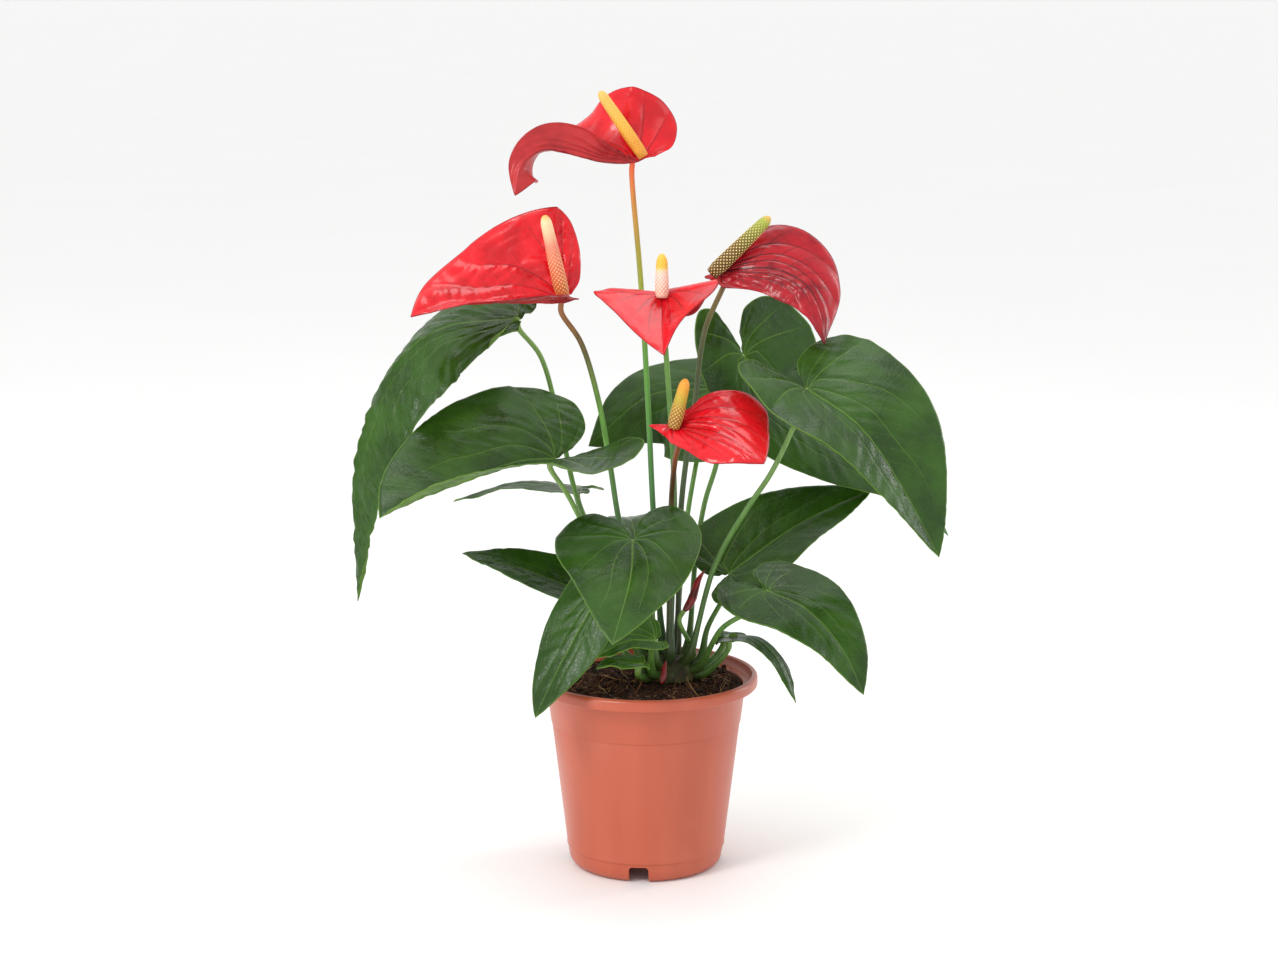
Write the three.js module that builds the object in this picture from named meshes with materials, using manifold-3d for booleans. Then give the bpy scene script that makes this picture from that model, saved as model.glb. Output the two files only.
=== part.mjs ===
// Potted anthurium: a thin plastic nursery pot with its root ball, a short crown,
// heart-shaped leaves on long stalks, and five red spathes, each with its spadix.
// Millimetres, +Z up. Lengths below are measured from the pot's own axis, and the
// finished group is moved so that its origin is under the middle of the whole plant.
import * as THREE from 'three';
import { mergeVertices } from 'three/addons/utils/BufferGeometryUtils.js';
import Module from 'manifold-3d';

const wasm = await Module();
wasm.setup();

// Pot
const potHeight = 105;
const rimRadius = 60;
const rimDepth = 6.4;
const rimOverhang = 7;
const rimRollWidth = 3.2;
const wallThickness = 1.2;
const wallFootRadius = 42.4;
const footHeight = 11;
const footStep = 0.5;
const footToe = 5;
const bandBelowTop = 26.4;
const bandStep = 0.35;
const notchCount = 4;
const notchWidth = 10.5;
const notchHeight = 9;
const notchCorner = 2;
const firstNotchAngle = -95.5;
const drainHoleCount = 6;
const drainHoleRadius = 3;
const drainInset = 11;
const potSides = 48;

// Root ball and crown
const soilBelowRim = 6;
const soilMound = 3;
const gap = 0.3;
const crownRadius = 15;
const crownHeight = 13;
const crownOffset = [12, 0];

// Blades and stalks
const leafThickness = 0.8;
const spatheThickness = 1;
const leafStalkRadius = 1.5;
const flowerStalkRadius = 1.6;
const stalkSides = 6;
const neckLength = 5;

const wallTopRadius = rimRadius - rimOverhang;
const rimLipRadius = rimRadius - rimRollWidth;
// Height of the soil at its middle, where the crown sits
const soilTop = potHeight - soilBelowRim + soilMound;
const crownBase = soilTop + gap;

function deg(angle) {
  return angle * Math.PI / 180;
}

// A point of the plant: from the pot's axis, and up from the top of the soil
function above([x, y, height]) {
  return new THREE.Vector3(x, y, height + soilTop);
}

// The same kind of point, placed by its bearing, its distance outside the rim and
// its height above the rim, for a leaf that hangs over it
function beyondRim(bearing, outside, height) {
  const reach = rimRadius + outside;
  return [reach * Math.cos(deg(bearing)), reach * Math.sin(deg(bearing)), potHeight + height - soilTop];
}

function direction([x, y, z]) {
  return new THREE.Vector3(x, y, z).normalize();
}

function standardMaterial(color, roughness, side) {
  return new THREE.MeshStandardMaterial({ color, roughness, metalness: 0, side: side ?? THREE.FrontSide });
}

const potMaterial = standardMaterial(0xcf6c4e, 0.4);
const soilMaterial = standardMaterial(0x33201a, 1);
const crownMaterial = standardMaterial(0x4a5a2a, 0.8);
const leafMaterial = standardMaterial(0x35582a, 0.35);
const youngLeafMaterial = standardMaterial(0x5f8338, 0.4);
const leafStalkMaterial = standardMaterial(0x5c7f3c, 0.5);
const flowerStalkMaterial = standardMaterial(0x77803a, 0.5);
const spatheMaterial = standardMaterial(0xd92231, 0.25);
const spadixMaterial = standardMaterial(0xe8c069, 0.6);
const budMaterial = standardMaterial(0x7d1620, 0.4);

const plant = new THREE.Group();

function addMesh(name, geometry, material) {
  const mesh = new THREE.Mesh(geometry, material);
  mesh.name = name;
  plant.add(mesh);
  return mesh;
}

// ---- booleans ----

function toSolid(geometry) {
  const bare = geometry.clone();
  bare.deleteAttribute('normal');
  bare.deleteAttribute('uv');
  const merged = mergeVertices(bare, 1e-4);
  const mesh = new wasm.Mesh({
    numProp: 3,
    vertProperties: new Float32Array(merged.attributes.position.array),
    triVerts: new Uint32Array(merged.index.array),
  });
  return new wasm.Manifold(mesh);
}

function fromSolid(solid) {
  const mesh = solid.getMesh();
  const geometry = new THREE.BufferGeometry();
  geometry.setAttribute('position', new THREE.BufferAttribute(new Float32Array(mesh.vertProperties), 3));
  geometry.setIndex(new THREE.BufferAttribute(new Uint32Array(mesh.triVerts), 1));
  return geometry;
}

function turned(points, sides) {
  const profile = points.map(([radius, height]) => new THREE.Vector2(radius, height));
  const geometry = new THREE.LatheGeometry(profile, sides);
  geometry.rotateX(Math.PI / 2);
  return geometry;
}

// ---- pot ----

// Radius of the outer wall at a height: a straight taper from the foot to the rim
function wallRadius(height) {
  const share = (height - footHeight) / (potHeight - rimDepth - footHeight);
  return wallFootRadius + (wallTopRadius - wallFootRadius) * share;
}

function potProfile() {
  const rimBottom = potHeight - rimDepth;
  const bandHeight = potHeight - bandBelowTop;
  const footRadius = wallFootRadius - footStep;
  const floorTop = footHeight + wallThickness;
  const ringInside = footRadius - footToe - 1.5 * wallThickness;
  return [
    [0, footHeight],
    [ringInside, footHeight],
    [ringInside, 0],
    [footRadius - footToe, 0],
    [footRadius - footToe * 0.45, footToe * 0.2],
    [footRadius - footToe * 0.12, footToe * 0.65],
    [footRadius, footHeight - footStep],
    [wallFootRadius, footHeight],
    [wallRadius(bandHeight), bandHeight],
    [wallRadius(bandHeight) + bandStep, bandHeight + bandStep],
    [wallTopRadius + bandStep, rimBottom],
    [rimRadius - 1.2, rimBottom],
    [rimRadius, rimBottom + 1.4],
    [rimRadius, potHeight - 2],
    [rimRadius - 1.2, potHeight - 0.3],
    [rimLipRadius + 1.2, potHeight],
    [rimLipRadius, potHeight - 1.4],
    [rimLipRadius - 0.4, rimBottom + wallThickness + 1],
    [wallTopRadius - wallThickness, rimBottom + wallThickness - 1],
    [wallFootRadius - wallThickness, floorTop + 0.5],
    [wallFootRadius - wallThickness - 0.8, floorTop],
    [0, floorTop],
  ];
}

function notchShape() {
  const half = notchWidth / 2;
  const shape = new THREE.Shape();
  shape.moveTo(-half, -2);
  shape.lineTo(half, -2);
  shape.lineTo(half, notchHeight - notchCorner);
  shape.absarc(half - notchCorner, notchHeight - notchCorner, notchCorner, 0, Math.PI / 2);
  shape.lineTo(-half + notchCorner, notchHeight);
  shape.absarc(-half + notchCorner, notchHeight - notchCorner, notchCorner, Math.PI / 2, Math.PI);
  return shape;
}

function makePot() {
  let solid = toSolid(turned(potProfile(), potSides));
  const reach = wallFootRadius + 5;
  for (let i = 0; i < notchCount; i++) {
    const cutter = new THREE.ExtrudeGeometry(notchShape(), {
      depth: reach / 2, bevelEnabled: false, curveSegments: 3,
    });
    cutter.rotateX(Math.PI / 2);
    cutter.rotateZ(Math.PI / 2);
    cutter.translate(reach / 2, 0, 0);
    cutter.rotateZ(deg(firstNotchAngle + i * 360 / notchCount));
    solid = solid.subtract(toSolid(cutter));
  }
  for (let i = 0; i < drainHoleCount; i++) {
    const drill = new THREE.CylinderGeometry(drainHoleRadius, drainHoleRadius, 6, 12);
    drill.rotateX(Math.PI / 2);
    const angle = deg(i * 360 / drainHoleCount);
    const circle = wallFootRadius - drainInset - drainHoleRadius;
    drill.translate(circle * Math.cos(angle), circle * Math.sin(angle), footHeight);
    solid = solid.subtract(toSolid(drill));
  }
  return fromSolid(solid);
}

// Root ball: fills the pot up to just under the rim, with a slightly domed top
function makeSoil() {
  const edgeHeight = potHeight - soilBelowRim;
  const floorTop = footHeight + wallThickness + gap;
  const inside = wallThickness + gap;
  return turned([
    [0, floorTop],
    [wallFootRadius - inside - 1, floorTop],
    [wallFootRadius - inside, floorTop + 1],
    [wallRadius(potHeight - rimDepth) - inside - bandStep, potHeight - rimDepth - 1],
    [wallTopRadius - inside - 0.6, edgeHeight],
    [wallTopRadius * 0.6, edgeHeight + soilMound * 0.6],
    [wallTopRadius * 0.3, soilTop],
    [0, soilTop],
  ], 32);
}

const crownCentre = new THREE.Vector3(crownOffset[0], crownOffset[1], crownBase);

function makeCrown() {
  const points = [[0, 0]];
  const rings = 5;
  for (let i = 0; i <= rings; i++) {
    const angle = Math.PI / 2 * i / rings;
    const radius = i === rings ? 0 : crownRadius * Math.cos(angle);
    points.push([radius, crownHeight * Math.sin(angle)]);
  }
  const geometry = turned(points, 20);
  geometry.translate(crownCentre.x, crownCentre.y, crownCentre.z);
  return geometry;
}

// ---- blades ----

// Half outlines: across in half-widths, along in blade lengths ahead of the stalk and
// in lobe lengths behind it. The first point is the inner end of the lobe.
const leafOutline = [
  [0.07, -0.5], [0.25, -0.92], [0.52, -1], [0.8, -0.72], [0.97, -0.2], [1, 0.1],
  [0.9, 0.33], [0.68, 0.56], [0.4, 0.77], [0.16, 0.92], [0, 1],
];
const narrowOutline = [
  [0.1, -0.5], [0.34, -0.9], [0.62, -0.95], [0.86, -0.6], [0.97, -0.1], [1, 0.2],
  [0.92, 0.42], [0.72, 0.63], [0.44, 0.82], [0.18, 0.94], [0, 1],
];
const spatheOutline = [
  [0.08, -0.5], [0.28, -0.95], [0.55, -1], [0.84, -0.66], [0.99, -0.1], [1, 0.2],
  [0.88, 0.46], [0.64, 0.7], [0.36, 0.87], [0.13, 0.96], [0, 1],
];
// A rounded half that narrows early, halves with a corner beside the stalk or ahead
// of it, and a half that runs out to a point behind the stalk
const shoulderOutline = [
  [0.08, -0.5], [0.3, -0.95], [0.58, -0.98], [0.86, -0.6], [1, -0.05], [0.96, 0.18],
  [0.78, 0.36], [0.52, 0.5], [0.34, 0.66], [0.16, 0.86], [0, 1],
];
const cornerOutline = [
  [0.08, -0.5], [0.3, -0.9], [0.6, -0.85], [0.88, -0.4], [1, 0], [0.88, 0.13],
  [0.68, 0.32], [0.47, 0.54], [0.27, 0.75], [0.1, 0.92], [0, 1],
];
const wingOutline = [
  [0.08, -0.3], [0.3, 0.05], [0.55, 0.13], [0.8, 0.25], [0.97, 0.39], [0.93, 0.52],
  [0.7, 0.66], [0.46, 0.79], [0.24, 0.9], [0.09, 0.97], [0, 1],
];
const slantOutline = [
  [0.08, -0.5], [0.28, 0.03], [0.5, 0.08], [0.74, 0.14], [0.93, 0.23], [1, 0.34],
  [0.9, 0.5], [0.7, 0.66], [0.42, 0.8], [0.18, 0.92], [0, 1],
];
const pointOutline = [
  [0.03, -0.62], [0.12, -1], [0.3, -0.55], [0.5, -0.12], [0.72, 0.14], [0.93, 0.36],
  [0.97, 0.54], [0.78, 0.7], [0.48, 0.84], [0.2, 0.94], [0, 1],
];

function outlineCurve(outline) {
  const points = outline.map(([x, y]) => new THREE.Vector3(x, y, 0));
  return new THREE.CatmullRomCurve3(points, false, 'centripetal');
}

// A blade is bent round its midrib, a curve through the points of rib from root to tip.
// Face and faceTip are the directions its upper side looks in at the root and the tip.
// Fold is the angle that each side leaves the midrib at, curl what it turns by on its
// way to the margin, and lobeBend what the lobe behind the stalk turns down by, as
// [side to the left of the midrib, side to the right].
function bladeSurface(blade) {
  const midrib = new THREE.CatmullRomCurve3(blade.rib.map(above), false, 'centripetal');
  const length = midrib.getLength();
  const face = direction(blade.face);
  const faceTip = direction(blade.faceTip ?? blade.face);
  const { fold } = blade;
  const foldTip = blade.foldTip ?? fold;
  const curl = blade.curl ?? [0, 0];
  const curlTip = blade.curlTip ?? curl;
  const lobeBend = blade.lobeBend ?? [0, 0];
  const { width, lobe } = blade;

  function frameAt(along) {
    const share = Math.min(Math.max(along / length, 0), 1);
    const tangent = midrib.getTangentAt(share);
    const normal = face.clone().lerp(faceTip, share);
    normal.addScaledVector(tangent, -normal.dot(tangent)).normalize();
    const across = tangent.clone().cross(normal);
    return { point: midrib.getPointAt(share), tangent, normal, across, share };
  }

  // Point at a distance x to the right of the midrib and y along it
  function at(x, y) {
    const { point, tangent, normal, across, share } = frameAt(y);
    const side = x < 0 ? 0 : 1;
    const behind = Math.max(-y, 0);
    const bend = Math.max(deg(Math.abs(lobeBend[side])) * behind / lobe[side], 1e-6);
    const down = Math.sign(lobeBend[side]) * behind * (1 - Math.cos(bend)) / bend;
    point.addScaledVector(tangent, -behind * Math.sin(bend) / bend).addScaledVector(normal, -down);
    const start = deg(fold[side] + (foldTip[side] - fold[side]) * share);
    const turn = deg(curl[side] + (curlTip[side] - curl[side]) * share);
    const steps = 6;
    let out = 0;
    let up = 0;
    for (let i = 0; i < steps; i++) {
      const reached = Math.abs(x) * (i + 0.5) / steps;
      const angle = start + turn * reached / width[side];
      out += Math.cos(angle) * Math.abs(x) / steps;
      up += Math.sin(angle) * Math.abs(x) / steps;
    }
    return point.addScaledVector(across, Math.sign(x) * out).addScaledVector(normal, up);
  }
  return { at, length, frameAt };
}

function bladeGeometry(blade, thickness) {
  const spokes = blade.spokes ?? 9;
  const rings = blade.rings ?? 3;
  const surface = bladeSurface(blade);
  const outline = blade.outline ?? spatheOutline;
  const curves = [outlineCurve(blade.outlineLeft ?? outline), outlineCurve(outline)];
  const flat = [];
  for (let i = -spokes; i <= spokes; i++) {
    const side = i < 0 ? 0 : 1;
    const edge = curves[side].getPointAt(1 - Math.abs(i) / spokes);
    const reach = edge.y < 0 ? blade.lobe[side] : surface.length;
    flat.push([Math.sign(i) * Math.abs(edge.x) * blade.width[side], edge.y * reach]);
  }
  const spokeCount = flat.length;
  const centres = [surface.at(0, 0)];
  for (let r = 1; r <= rings; r++) {
    for (const [x, y] of flat) {
      centres.push(surface.at(x * r / rings, y * r / rings));
    }
  }
  const faces = [];
  const index = (r, s) => (r === 0 ? 0 : 1 + (r - 1) * spokeCount + s);
  for (let s = 0; s < spokeCount - 1; s++) {
    faces.push([0, index(1, s + 1), index(1, s)]);
    for (let r = 1; r < rings; r++) {
      faces.push([index(r, s), index(r, s + 1), index(r + 1, s + 1)]);
      faces.push([index(r, s), index(r + 1, s + 1), index(r + 1, s)]);
    }
  }
  return shellGeometry(centres, faces, boundaryLoop(rings, spokeCount, index), thickness);
}

function boundaryLoop(rings, spokeCount, index) {
  const loop = [0];
  for (let r = 1; r <= rings; r++) {
    loop.push(index(r, 0));
  }
  for (let s = 1; s < spokeCount; s++) {
    loop.push(index(rings, s));
  }
  for (let r = rings - 1; r >= 1; r--) {
    loop.push(index(r, spokeCount - 1));
  }
  return loop;
}

// Gives an open sheet its thickness, half to each side
function shellGeometry(centres, faces, loop, thickness) {
  const normals = centres.map(() => new THREE.Vector3());
  const edgeA = new THREE.Vector3();
  const edgeB = new THREE.Vector3();
  for (const [a, b, c] of faces) {
    edgeA.subVectors(centres[b], centres[a]);
    edgeB.subVectors(centres[c], centres[a]);
    edgeA.cross(edgeB);
    for (const corner of [a, b, c]) {
      normals[corner].add(edgeA);
    }
  }
  const count = centres.length;
  const positions = [];
  for (const side of [1, -1]) {
    centres.forEach((centre, i) => {
      const p = centre.clone().addScaledVector(normals[i].normalize(), side * thickness / 2);
      positions.push(p.x, p.y, p.z);
    });
  }
  const indices = [];
  for (const [a, b, c] of faces) {
    indices.push(a, b, c);
    indices.push(a + count, c + count, b + count);
  }
  loop.forEach((a, i) => {
    const b = loop[(i + 1) % loop.length];
    indices.push(a, b, b + count);
    indices.push(a, b + count, a + count);
  });
  const geometry = new THREE.BufferGeometry();
  geometry.setAttribute('position', new THREE.Float32BufferAttribute(positions, 3));
  geometry.setIndex(indices);
  geometry.computeVertexNormals();
  return geometry;
}

// ---- stalks ----

function circleShape(radius, sides) {
  const points = [];
  for (let i = 0; i < sides; i++) {
    const angle = 2 * Math.PI * i / sides;
    points.push(new THREE.Vector2(radius * Math.cos(angle), radius * Math.sin(angle)));
  }
  return new THREE.Shape(points);
}

function tube(points, radius, steps) {
  const path = new THREE.CatmullRomCurve3(points, false, 'centripetal');
  const options = { extrudePath: path, steps, bevelEnabled: false };
  return new THREE.ExtrudeGeometry(circleShape(radius, stalkSides), options);
}

// Point on the crown's dome, clear of it by a distance; azimuth 0 is +X
function crownPoint(azimuth, rise, clear) {
  const flatPart = Math.cos(deg(rise));
  const out = new THREE.Vector3(
    Math.cos(deg(azimuth)) * flatPart, Math.sin(deg(azimuth)) * flatPart, Math.sin(deg(rise)));
  const point = new THREE.Vector3(
    out.x * (crownRadius + clear), out.y * (crownRadius + clear), out.z * (crownHeight + clear));
  return point.add(crownCentre);
}

// A stalk from the crown to just under a blade's root, through points in between
function stalkGeometry(blade, thickness, radius) {
  const surface = bladeSurface(blade);
  const { point, normal } = surface.frameAt(0);
  const lobeSlopes = (blade.lobeBend ?? [0, 0]).map((bend) => bend / 2 / (blade.rings ?? 3));
  const droop = Math.max(0, ...lobeSlopes, -Math.min(...blade.fold));
  const under = thickness / 2 + 1.5 * gap + radius * Math.tan(deg(droop));
  const end = point.clone().addScaledVector(normal, -under);
  const neck = point.clone().addScaledVector(normal, -under - neckLength);
  const [azimuth, rise] = blade.start;
  const start = crownPoint(azimuth, rise, gap + 0.4);
  const leaving = crownPoint(azimuth, rise, gap + 5);
  const via = blade.via.map(above);
  return tube([start, leaving, ...via, neck, end], radius, blade.stalkSteps ?? 12);
}

// ---- leaves ----

const leaves = [
  { name: 'leaf_01',
    rib: [[-68, 8, 193], [-108, 6, 188], [-134, -2, 168], [-152, -14, 123], [-151, -26, 48]],
    face: [-0.5, -0.45, 0.85], faceTip: [-1, -0.35, 0.1], width: [41, 36], lobe: [4, 12],
    fold: [-5, 10], foldTip: [-15, -80], curl: [-20, -20], start: [172, 45],
    via: [[-35, 6, 91], [-46, 18, 134], [-56, 14, 172]], outlineLeft: slantOutline, outline: leafOutline },
  { name: 'leaf_02',
    rib: [[-48, -20, 123], [-64, -32, 124], [-86, -50, 120], [-112, -71, 113], [-133, -89, 106]],
    face: [-0.1, -0.7, 0.7], width: [34, 50], lobe: [42, 26], fold: [30, 15], foldTip: [70, 5],
    curl: [0, -20], lobeBend: [-50, -25], start: [205, 45], via: [[-35, -8, 89], [-42, -14, 104]],
    outlineLeft: leafOutline, outline: spatheOutline },
  { name: 'leaf_03', rib: [[-37, 34, 98], [-71, 46, 98], [-106, 56, 85]], face: [0, 0.05, 1],
    width: [15, 18], lobe: [10, 12], fold: [-5, -5], curl: [-15, -15], start: [145, 35],
    via: [[-18, 16, 50]], outline: narrowOutline },
  { name: 'leaf_04', rib: [[-28, 14, 41], [-66, 24, 54], [-100, 32, 61]], face: [0, -0.45, 0.9],
    width: [17, 18], lobe: [12, 12], fold: [15, 10], start: [160, 18], via: [], outline: narrowOutline },
  { name: 'leaf_05',
    rib: [[-24, -38, 56], [-37, -47, 34], beyondRim(-131, 17, 6), beyondRim(-131, 27, -7)],
    face: [-0.3, -0.7, 0.6], faceTip: [-0.5, -0.9, 0.1], width: [18, 20], lobe: [12, 12], fold: [0, 0],
    curl: [-10, -10], start: [222, 30], via: [[-10, -18, 32]], outline: narrowOutline },
  { name: 'leaf_06', rib: [[-7, -38, 83], [-8, -66, 70], [-17, -96, 42]], face: [0, -0.55, 0.83],
    width: [36, 40], lobe: [26, 20], fold: [14, 5], curl: [-10, -10], start: [245, 40],
    via: [[2, -16, 50]], outline: leafOutline },
  { name: 'leaf_07', rib: [[5, -26, 27], [-11, -37, 29], [-26, -48, 23]], face: [0, -0.5, 0.87],
    width: [8, 14], lobe: [6, 5], fold: [0, 30], young: true, spokes: 7, rings: 2, start: [243, 20],
    via: [], outline: narrowOutline },
  { name: 'leaf_08', rib: [[45, 3, 57], [82, 18, 80], [125, 34, 97]], face: [-0.2, -0.5, 0.85],
    width: [34, 24], lobe: [12, 18], fold: [20, 5], curl: [-5, -10], start: [10, 30],
    via: [[33, 1, 27]], outline: leafOutline },
  { name: 'leaf_09', rib: [[64, -32, 55], [83, -48, 49], [100, -64, 33], [111, -78, 12]],
    face: [0.2, -0.5, 0.86], faceTip: [0.5, -0.7, 0.5], width: [28, 28], lobe: [18, 22], fold: [8, 4],
    curl: [-10, -15], start: [335, 25], via: [[40, -21, 32], [54, -29, 43]], outline: leafOutline },
  { name: 'leaf_10', rib: [[43, -6, 24], [58, -20, 27], beyondRim(-25, 17, 15), beyondRim(-29, 30, -5)],
    face: [0, -0.2, 1], faceTip: [0.7, -0.3, 0.5], width: [8, 8], lobe: [5, 5], fold: [-10, -10],
    curl: [-10, -10], spokes: 7, rings: 2, start: [350, 10], via: [], outline: narrowOutline },
  { name: 'leaf_11', rib: [[83, -36, 162], [108, -52, 146], [128, -68, 119], [147, -82, 84]],
    face: [0.2, -0.6, 0.75], faceTip: [0.5, -0.75, 0.4], width: [50, 32], lobe: [18, 34],
    fold: [10, 15], curl: [-10, -10], start: [325, 48],
    via: [[36, -12, 63], [53, -22, 97], [65, -28, 117], [76, -33, 142]], outline: leafOutline },
  { name: 'leaf_12', rib: [[53, 34, 169], [63, 31, 146], [98, 32, 120], [139, 30, 98], [164, 24, 73]],
    face: [0.36, -0.75, 0.48], faceTip: [0.7, -0.5, 0.4], width: [44, 28], lobe: [26, 32],
    fold: [10, 5], foldTip: [-10, 5], curl: [-10, -20], start: [38, 50],
    via: [[27, 22, 61], [32, 36, 88], [39, 38, 112], [44, 33, 153]], outline: leafOutline },
  { name: 'leaf_13', rib: [[36, 70, 146], [2, 82, 140], [-32, 74, 113]], face: [0, -0.8, 0.6],
    width: [44, 28], lobe: [36, 20], fold: [0, -10], curl: [-10, -20], start: [70, 55],
    via: [[20, 30, 60], [25, 50, 92], [32, 64, 124]], outline: leafOutline },
  { name: 'leaf_14', rib: [[-3, -36, 17], [-15, -42, 19], [-26, -48, 18]], face: [0, -0.3, 0.95],
    width: [7, 7], lobe: [4, 4], fold: [10, 10], young: true, spokes: 7, rings: 2, start: [228, 10],
    via: [], outline: narrowOutline },
  { name: 'leaf_15', rib: [[42, 8, 20], [50, 12, 20], [58, 16, 16]], face: [0, -0.3, 0.95],
    width: [6, 6], lobe: [3, 3], fold: [0, 0], spokes: 7, rings: 2, start: [18, 10], via: [],
    outline: narrowOutline },
  { name: 'leaf_16', rib: [[-4, 16, 66], [-8, 40, 78], [-12, 64, 74]], face: [0, -0.3, 0.95],
    width: [18, 18], lobe: [12, 12], fold: [10, 10], curl: [-10, -10], start: [125, 50], via: [],
    outline: narrowOutline },
];

for (const leaf of leaves) {
  const bladeMaterial = leaf.young ? youngLeafMaterial : leafMaterial;
  addMesh(`${leaf.name}_blade`, bladeGeometry(leaf, leafThickness), bladeMaterial);
  addMesh(`${leaf.name}_stalk`, stalkGeometry(leaf, leafThickness, leafStalkRadius), leafStalkMaterial);
}

// ---- flowers ----

const flowers = [
  { name: 'flower_1',
    rib: [[-7, 0, 276], [-24, -4, 277], [-40, -8, 281], [-53, -14, 283], [-63, -20, 276], [-67, -26, 260]],
    face: [0, -0.1, 1], faceTip: [-0.2, 1, 0.1], width: [16, 39], lobe: [3, 24], fold: [50, 60],
    foldTip: [15, 0], curl: [0, 25], curlTip: [0, 0], lift: 6, start: [150, 80],
    via: [[4, 4, 88], [1, 4, 150], [-3, 2, 216]], spadix: [-24, -4, 312], spadixRadius: 3.2,
    outlineLeft: wingOutline, outline: leafOutline },
  { name: 'flower_2',
    rib: [[-44, -14, 205], [-63, -18, 205], [-83, -24, 205], [-103, -32, 205], [-120, -40, 200]],
    face: [0, 0, 1], faceTip: [0, -0.2, 1], width: [20, 50], lobe: [9, 12], fold: [18, 55],
    foldTip: [10, 15], curl: [0, 40], curlTip: [0, 0], lift: 2.5, start: [185, 60],
    via: [[-14, 0, 84], [-19, -4, 117], [-25, -8, 152], [-34, -12, 183]], spadix: [-52, -24, 250],
    spadixRadius: 3.6, outlineLeft: pointOutline, outline: leafOutline },
  { name: 'flower_3',
    rib: [[40, -4, 219], [51, -8, 221], [67, -12, 221], [82, -18, 214], [90, -24, 201], [92, -28, 184]],
    face: [0, -0.8, 0.5], faceTip: [0.3, -0.9, 0.3], width: [30, 16], lobe: [2, 10], fold: [15, 0],
    foldTip: [-45, 0], curl: [-10, -10], lift: 2, start: [30, 75],
    via: [[19, 4, 96], [26, 4, 150], [31, 0, 188]], spadix: [64, -10, 248], spadixRadius: 3.6,
    outlineLeft: wingOutline, outline: pointOutline },
  { name: 'flower_4', rib: [[8, -28, 209], [8, -45, 196], [9, -62, 183]], face: [0, -0.4, 0.9],
    width: [30, 35], lobe: [28, 8], fold: [15, 4], foldTip: [50, 4], curl: [0, 0], lobeBend: [170, 60],
    start: [280, 78], via: [[15, -4, 98], [10, -24, 182]], spadix: [8, -30, 231], spadixRadius: 3.4,
    outlineLeft: shoulderOutline, outline: cornerOutline },
  { name: 'flower_5', rib: [[16, -48, 145], [33, -58, 144], [47, -68, 139], [59, -78, 131]],
    face: [0, -0.75, 0.65], width: [35, 18], lobe: [2, 16], fold: [10, 0], foldTip: [-40, 0],
    curl: [-10, -10], start: [272, 62], via: [[13, -8, 88], [15, -34, 125]], spadix: [20, -54, 170],
    spadixRadius: 3.4, outlineLeft: wingOutline, outline: pointOutline },
];

// A young spathe still furled round its spadix, and the dry red sheath of an old shoot
const bud = { foot: [20, -8, 38], top: [32, -2, 60], radius: 2.6, stalkRadius: 1.3, start: [352, 48] };
const sheath = { foot: [8, -24, 2.4], top: [11, -17, 14], radius: 1.9 };

// Rounded finger from a foot point towards a top point
function spadixGeometry(foot, top, radius) {
  const axis = new THREE.Vector3().subVectors(top, foot);
  const length = axis.length();
  const points = [[0, 0], [radius * 0.7, 0.5], [radius, 2], [radius * 0.95, length * 0.5],
    [radius * 0.72, length - 2.5], [radius * 0.4, length - 0.6], [0, length]];
  const geometry = turned(points, 10);
  const up = new THREE.Vector3(0, 0, 1);
  geometry.applyQuaternion(new THREE.Quaternion().setFromUnitVectors(up, axis.normalize()));
  geometry.translate(foot.x, foot.y, foot.z);
  return geometry;
}

for (const flower of flowers) {
  const { point, normal } = bladeSurface(flower).frameAt(0);
  const lift = spatheThickness / 2 + gap + flower.spadixRadius * 0.9 + (flower.lift ?? 0);
  const foot = point.clone().addScaledVector(normal, lift);
  addMesh(`${flower.name}_spathe`, bladeGeometry(flower, spatheThickness), spatheMaterial);
  const column = spadixGeometry(foot, above(flower.spadix), flower.spadixRadius);
  addMesh(`${flower.name}_spadix`, column, spadixMaterial);
  const stem = stalkGeometry(flower, spatheThickness, flowerStalkRadius);
  addMesh(`${flower.name}_stalk`, stem, flowerStalkMaterial);
}

// ---- furled bud and sheath ----

// A spindle with a blunt foot and a pointed top
function spindleGeometry(foot, top, radius) {
  const axis = new THREE.Vector3().subVectors(top, foot);
  const length = axis.length();
  const points = [[0, 0], [radius * 0.6, 0.2], [radius * 0.9, length * 0.2], [radius, length * 0.4],
    [radius * 0.8, length * 0.65], [radius * 0.35, length * 0.88], [0, length]];
  const geometry = turned(points, 8);
  const up = new THREE.Vector3(0, 0, 1);
  geometry.applyQuaternion(new THREE.Quaternion().setFromUnitVectors(up, axis.normalize()));
  geometry.translate(foot.x, foot.y, foot.z);
  return geometry;
}

const budFoot = above(bud.foot);
const budTop = above(bud.top);
const budAxis = budTop.clone().sub(budFoot).normalize();
const budStalkPoints = [
  crownPoint(...bud.start, gap + 0.4),
  crownPoint(...bud.start, gap + 5),
  budFoot.clone().addScaledVector(budAxis, -gap - neckLength),
  budFoot.clone().addScaledVector(budAxis, -gap),
];
addMesh('bud', spindleGeometry(budFoot, budTop, bud.radius), budMaterial);
addMesh('bud_stalk', tube(budStalkPoints, bud.stalkRadius, 8), leafStalkMaterial);
addMesh('sheath', spindleGeometry(above(sheath.foot), above(sheath.top), sheath.radius), budMaterial);

// ---- pot and root ball ----

addMesh('pot', makePot(), potMaterial);
addMesh('soil', makeSoil(), soilMaterial);
addMesh('crown', makeCrown(), crownMaterial);

// The origin sits under the middle of the whole plant, on the surface it stands on
const box = new THREE.Box3().setFromObject(plant);
plant.position.set(-(box.min.x + box.max.x) / 2, -(box.min.y + box.max.y) / 2, -box.min.z);
plant.updateMatrixWorld(true);

export default plant;
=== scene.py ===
import math
import random

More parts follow.
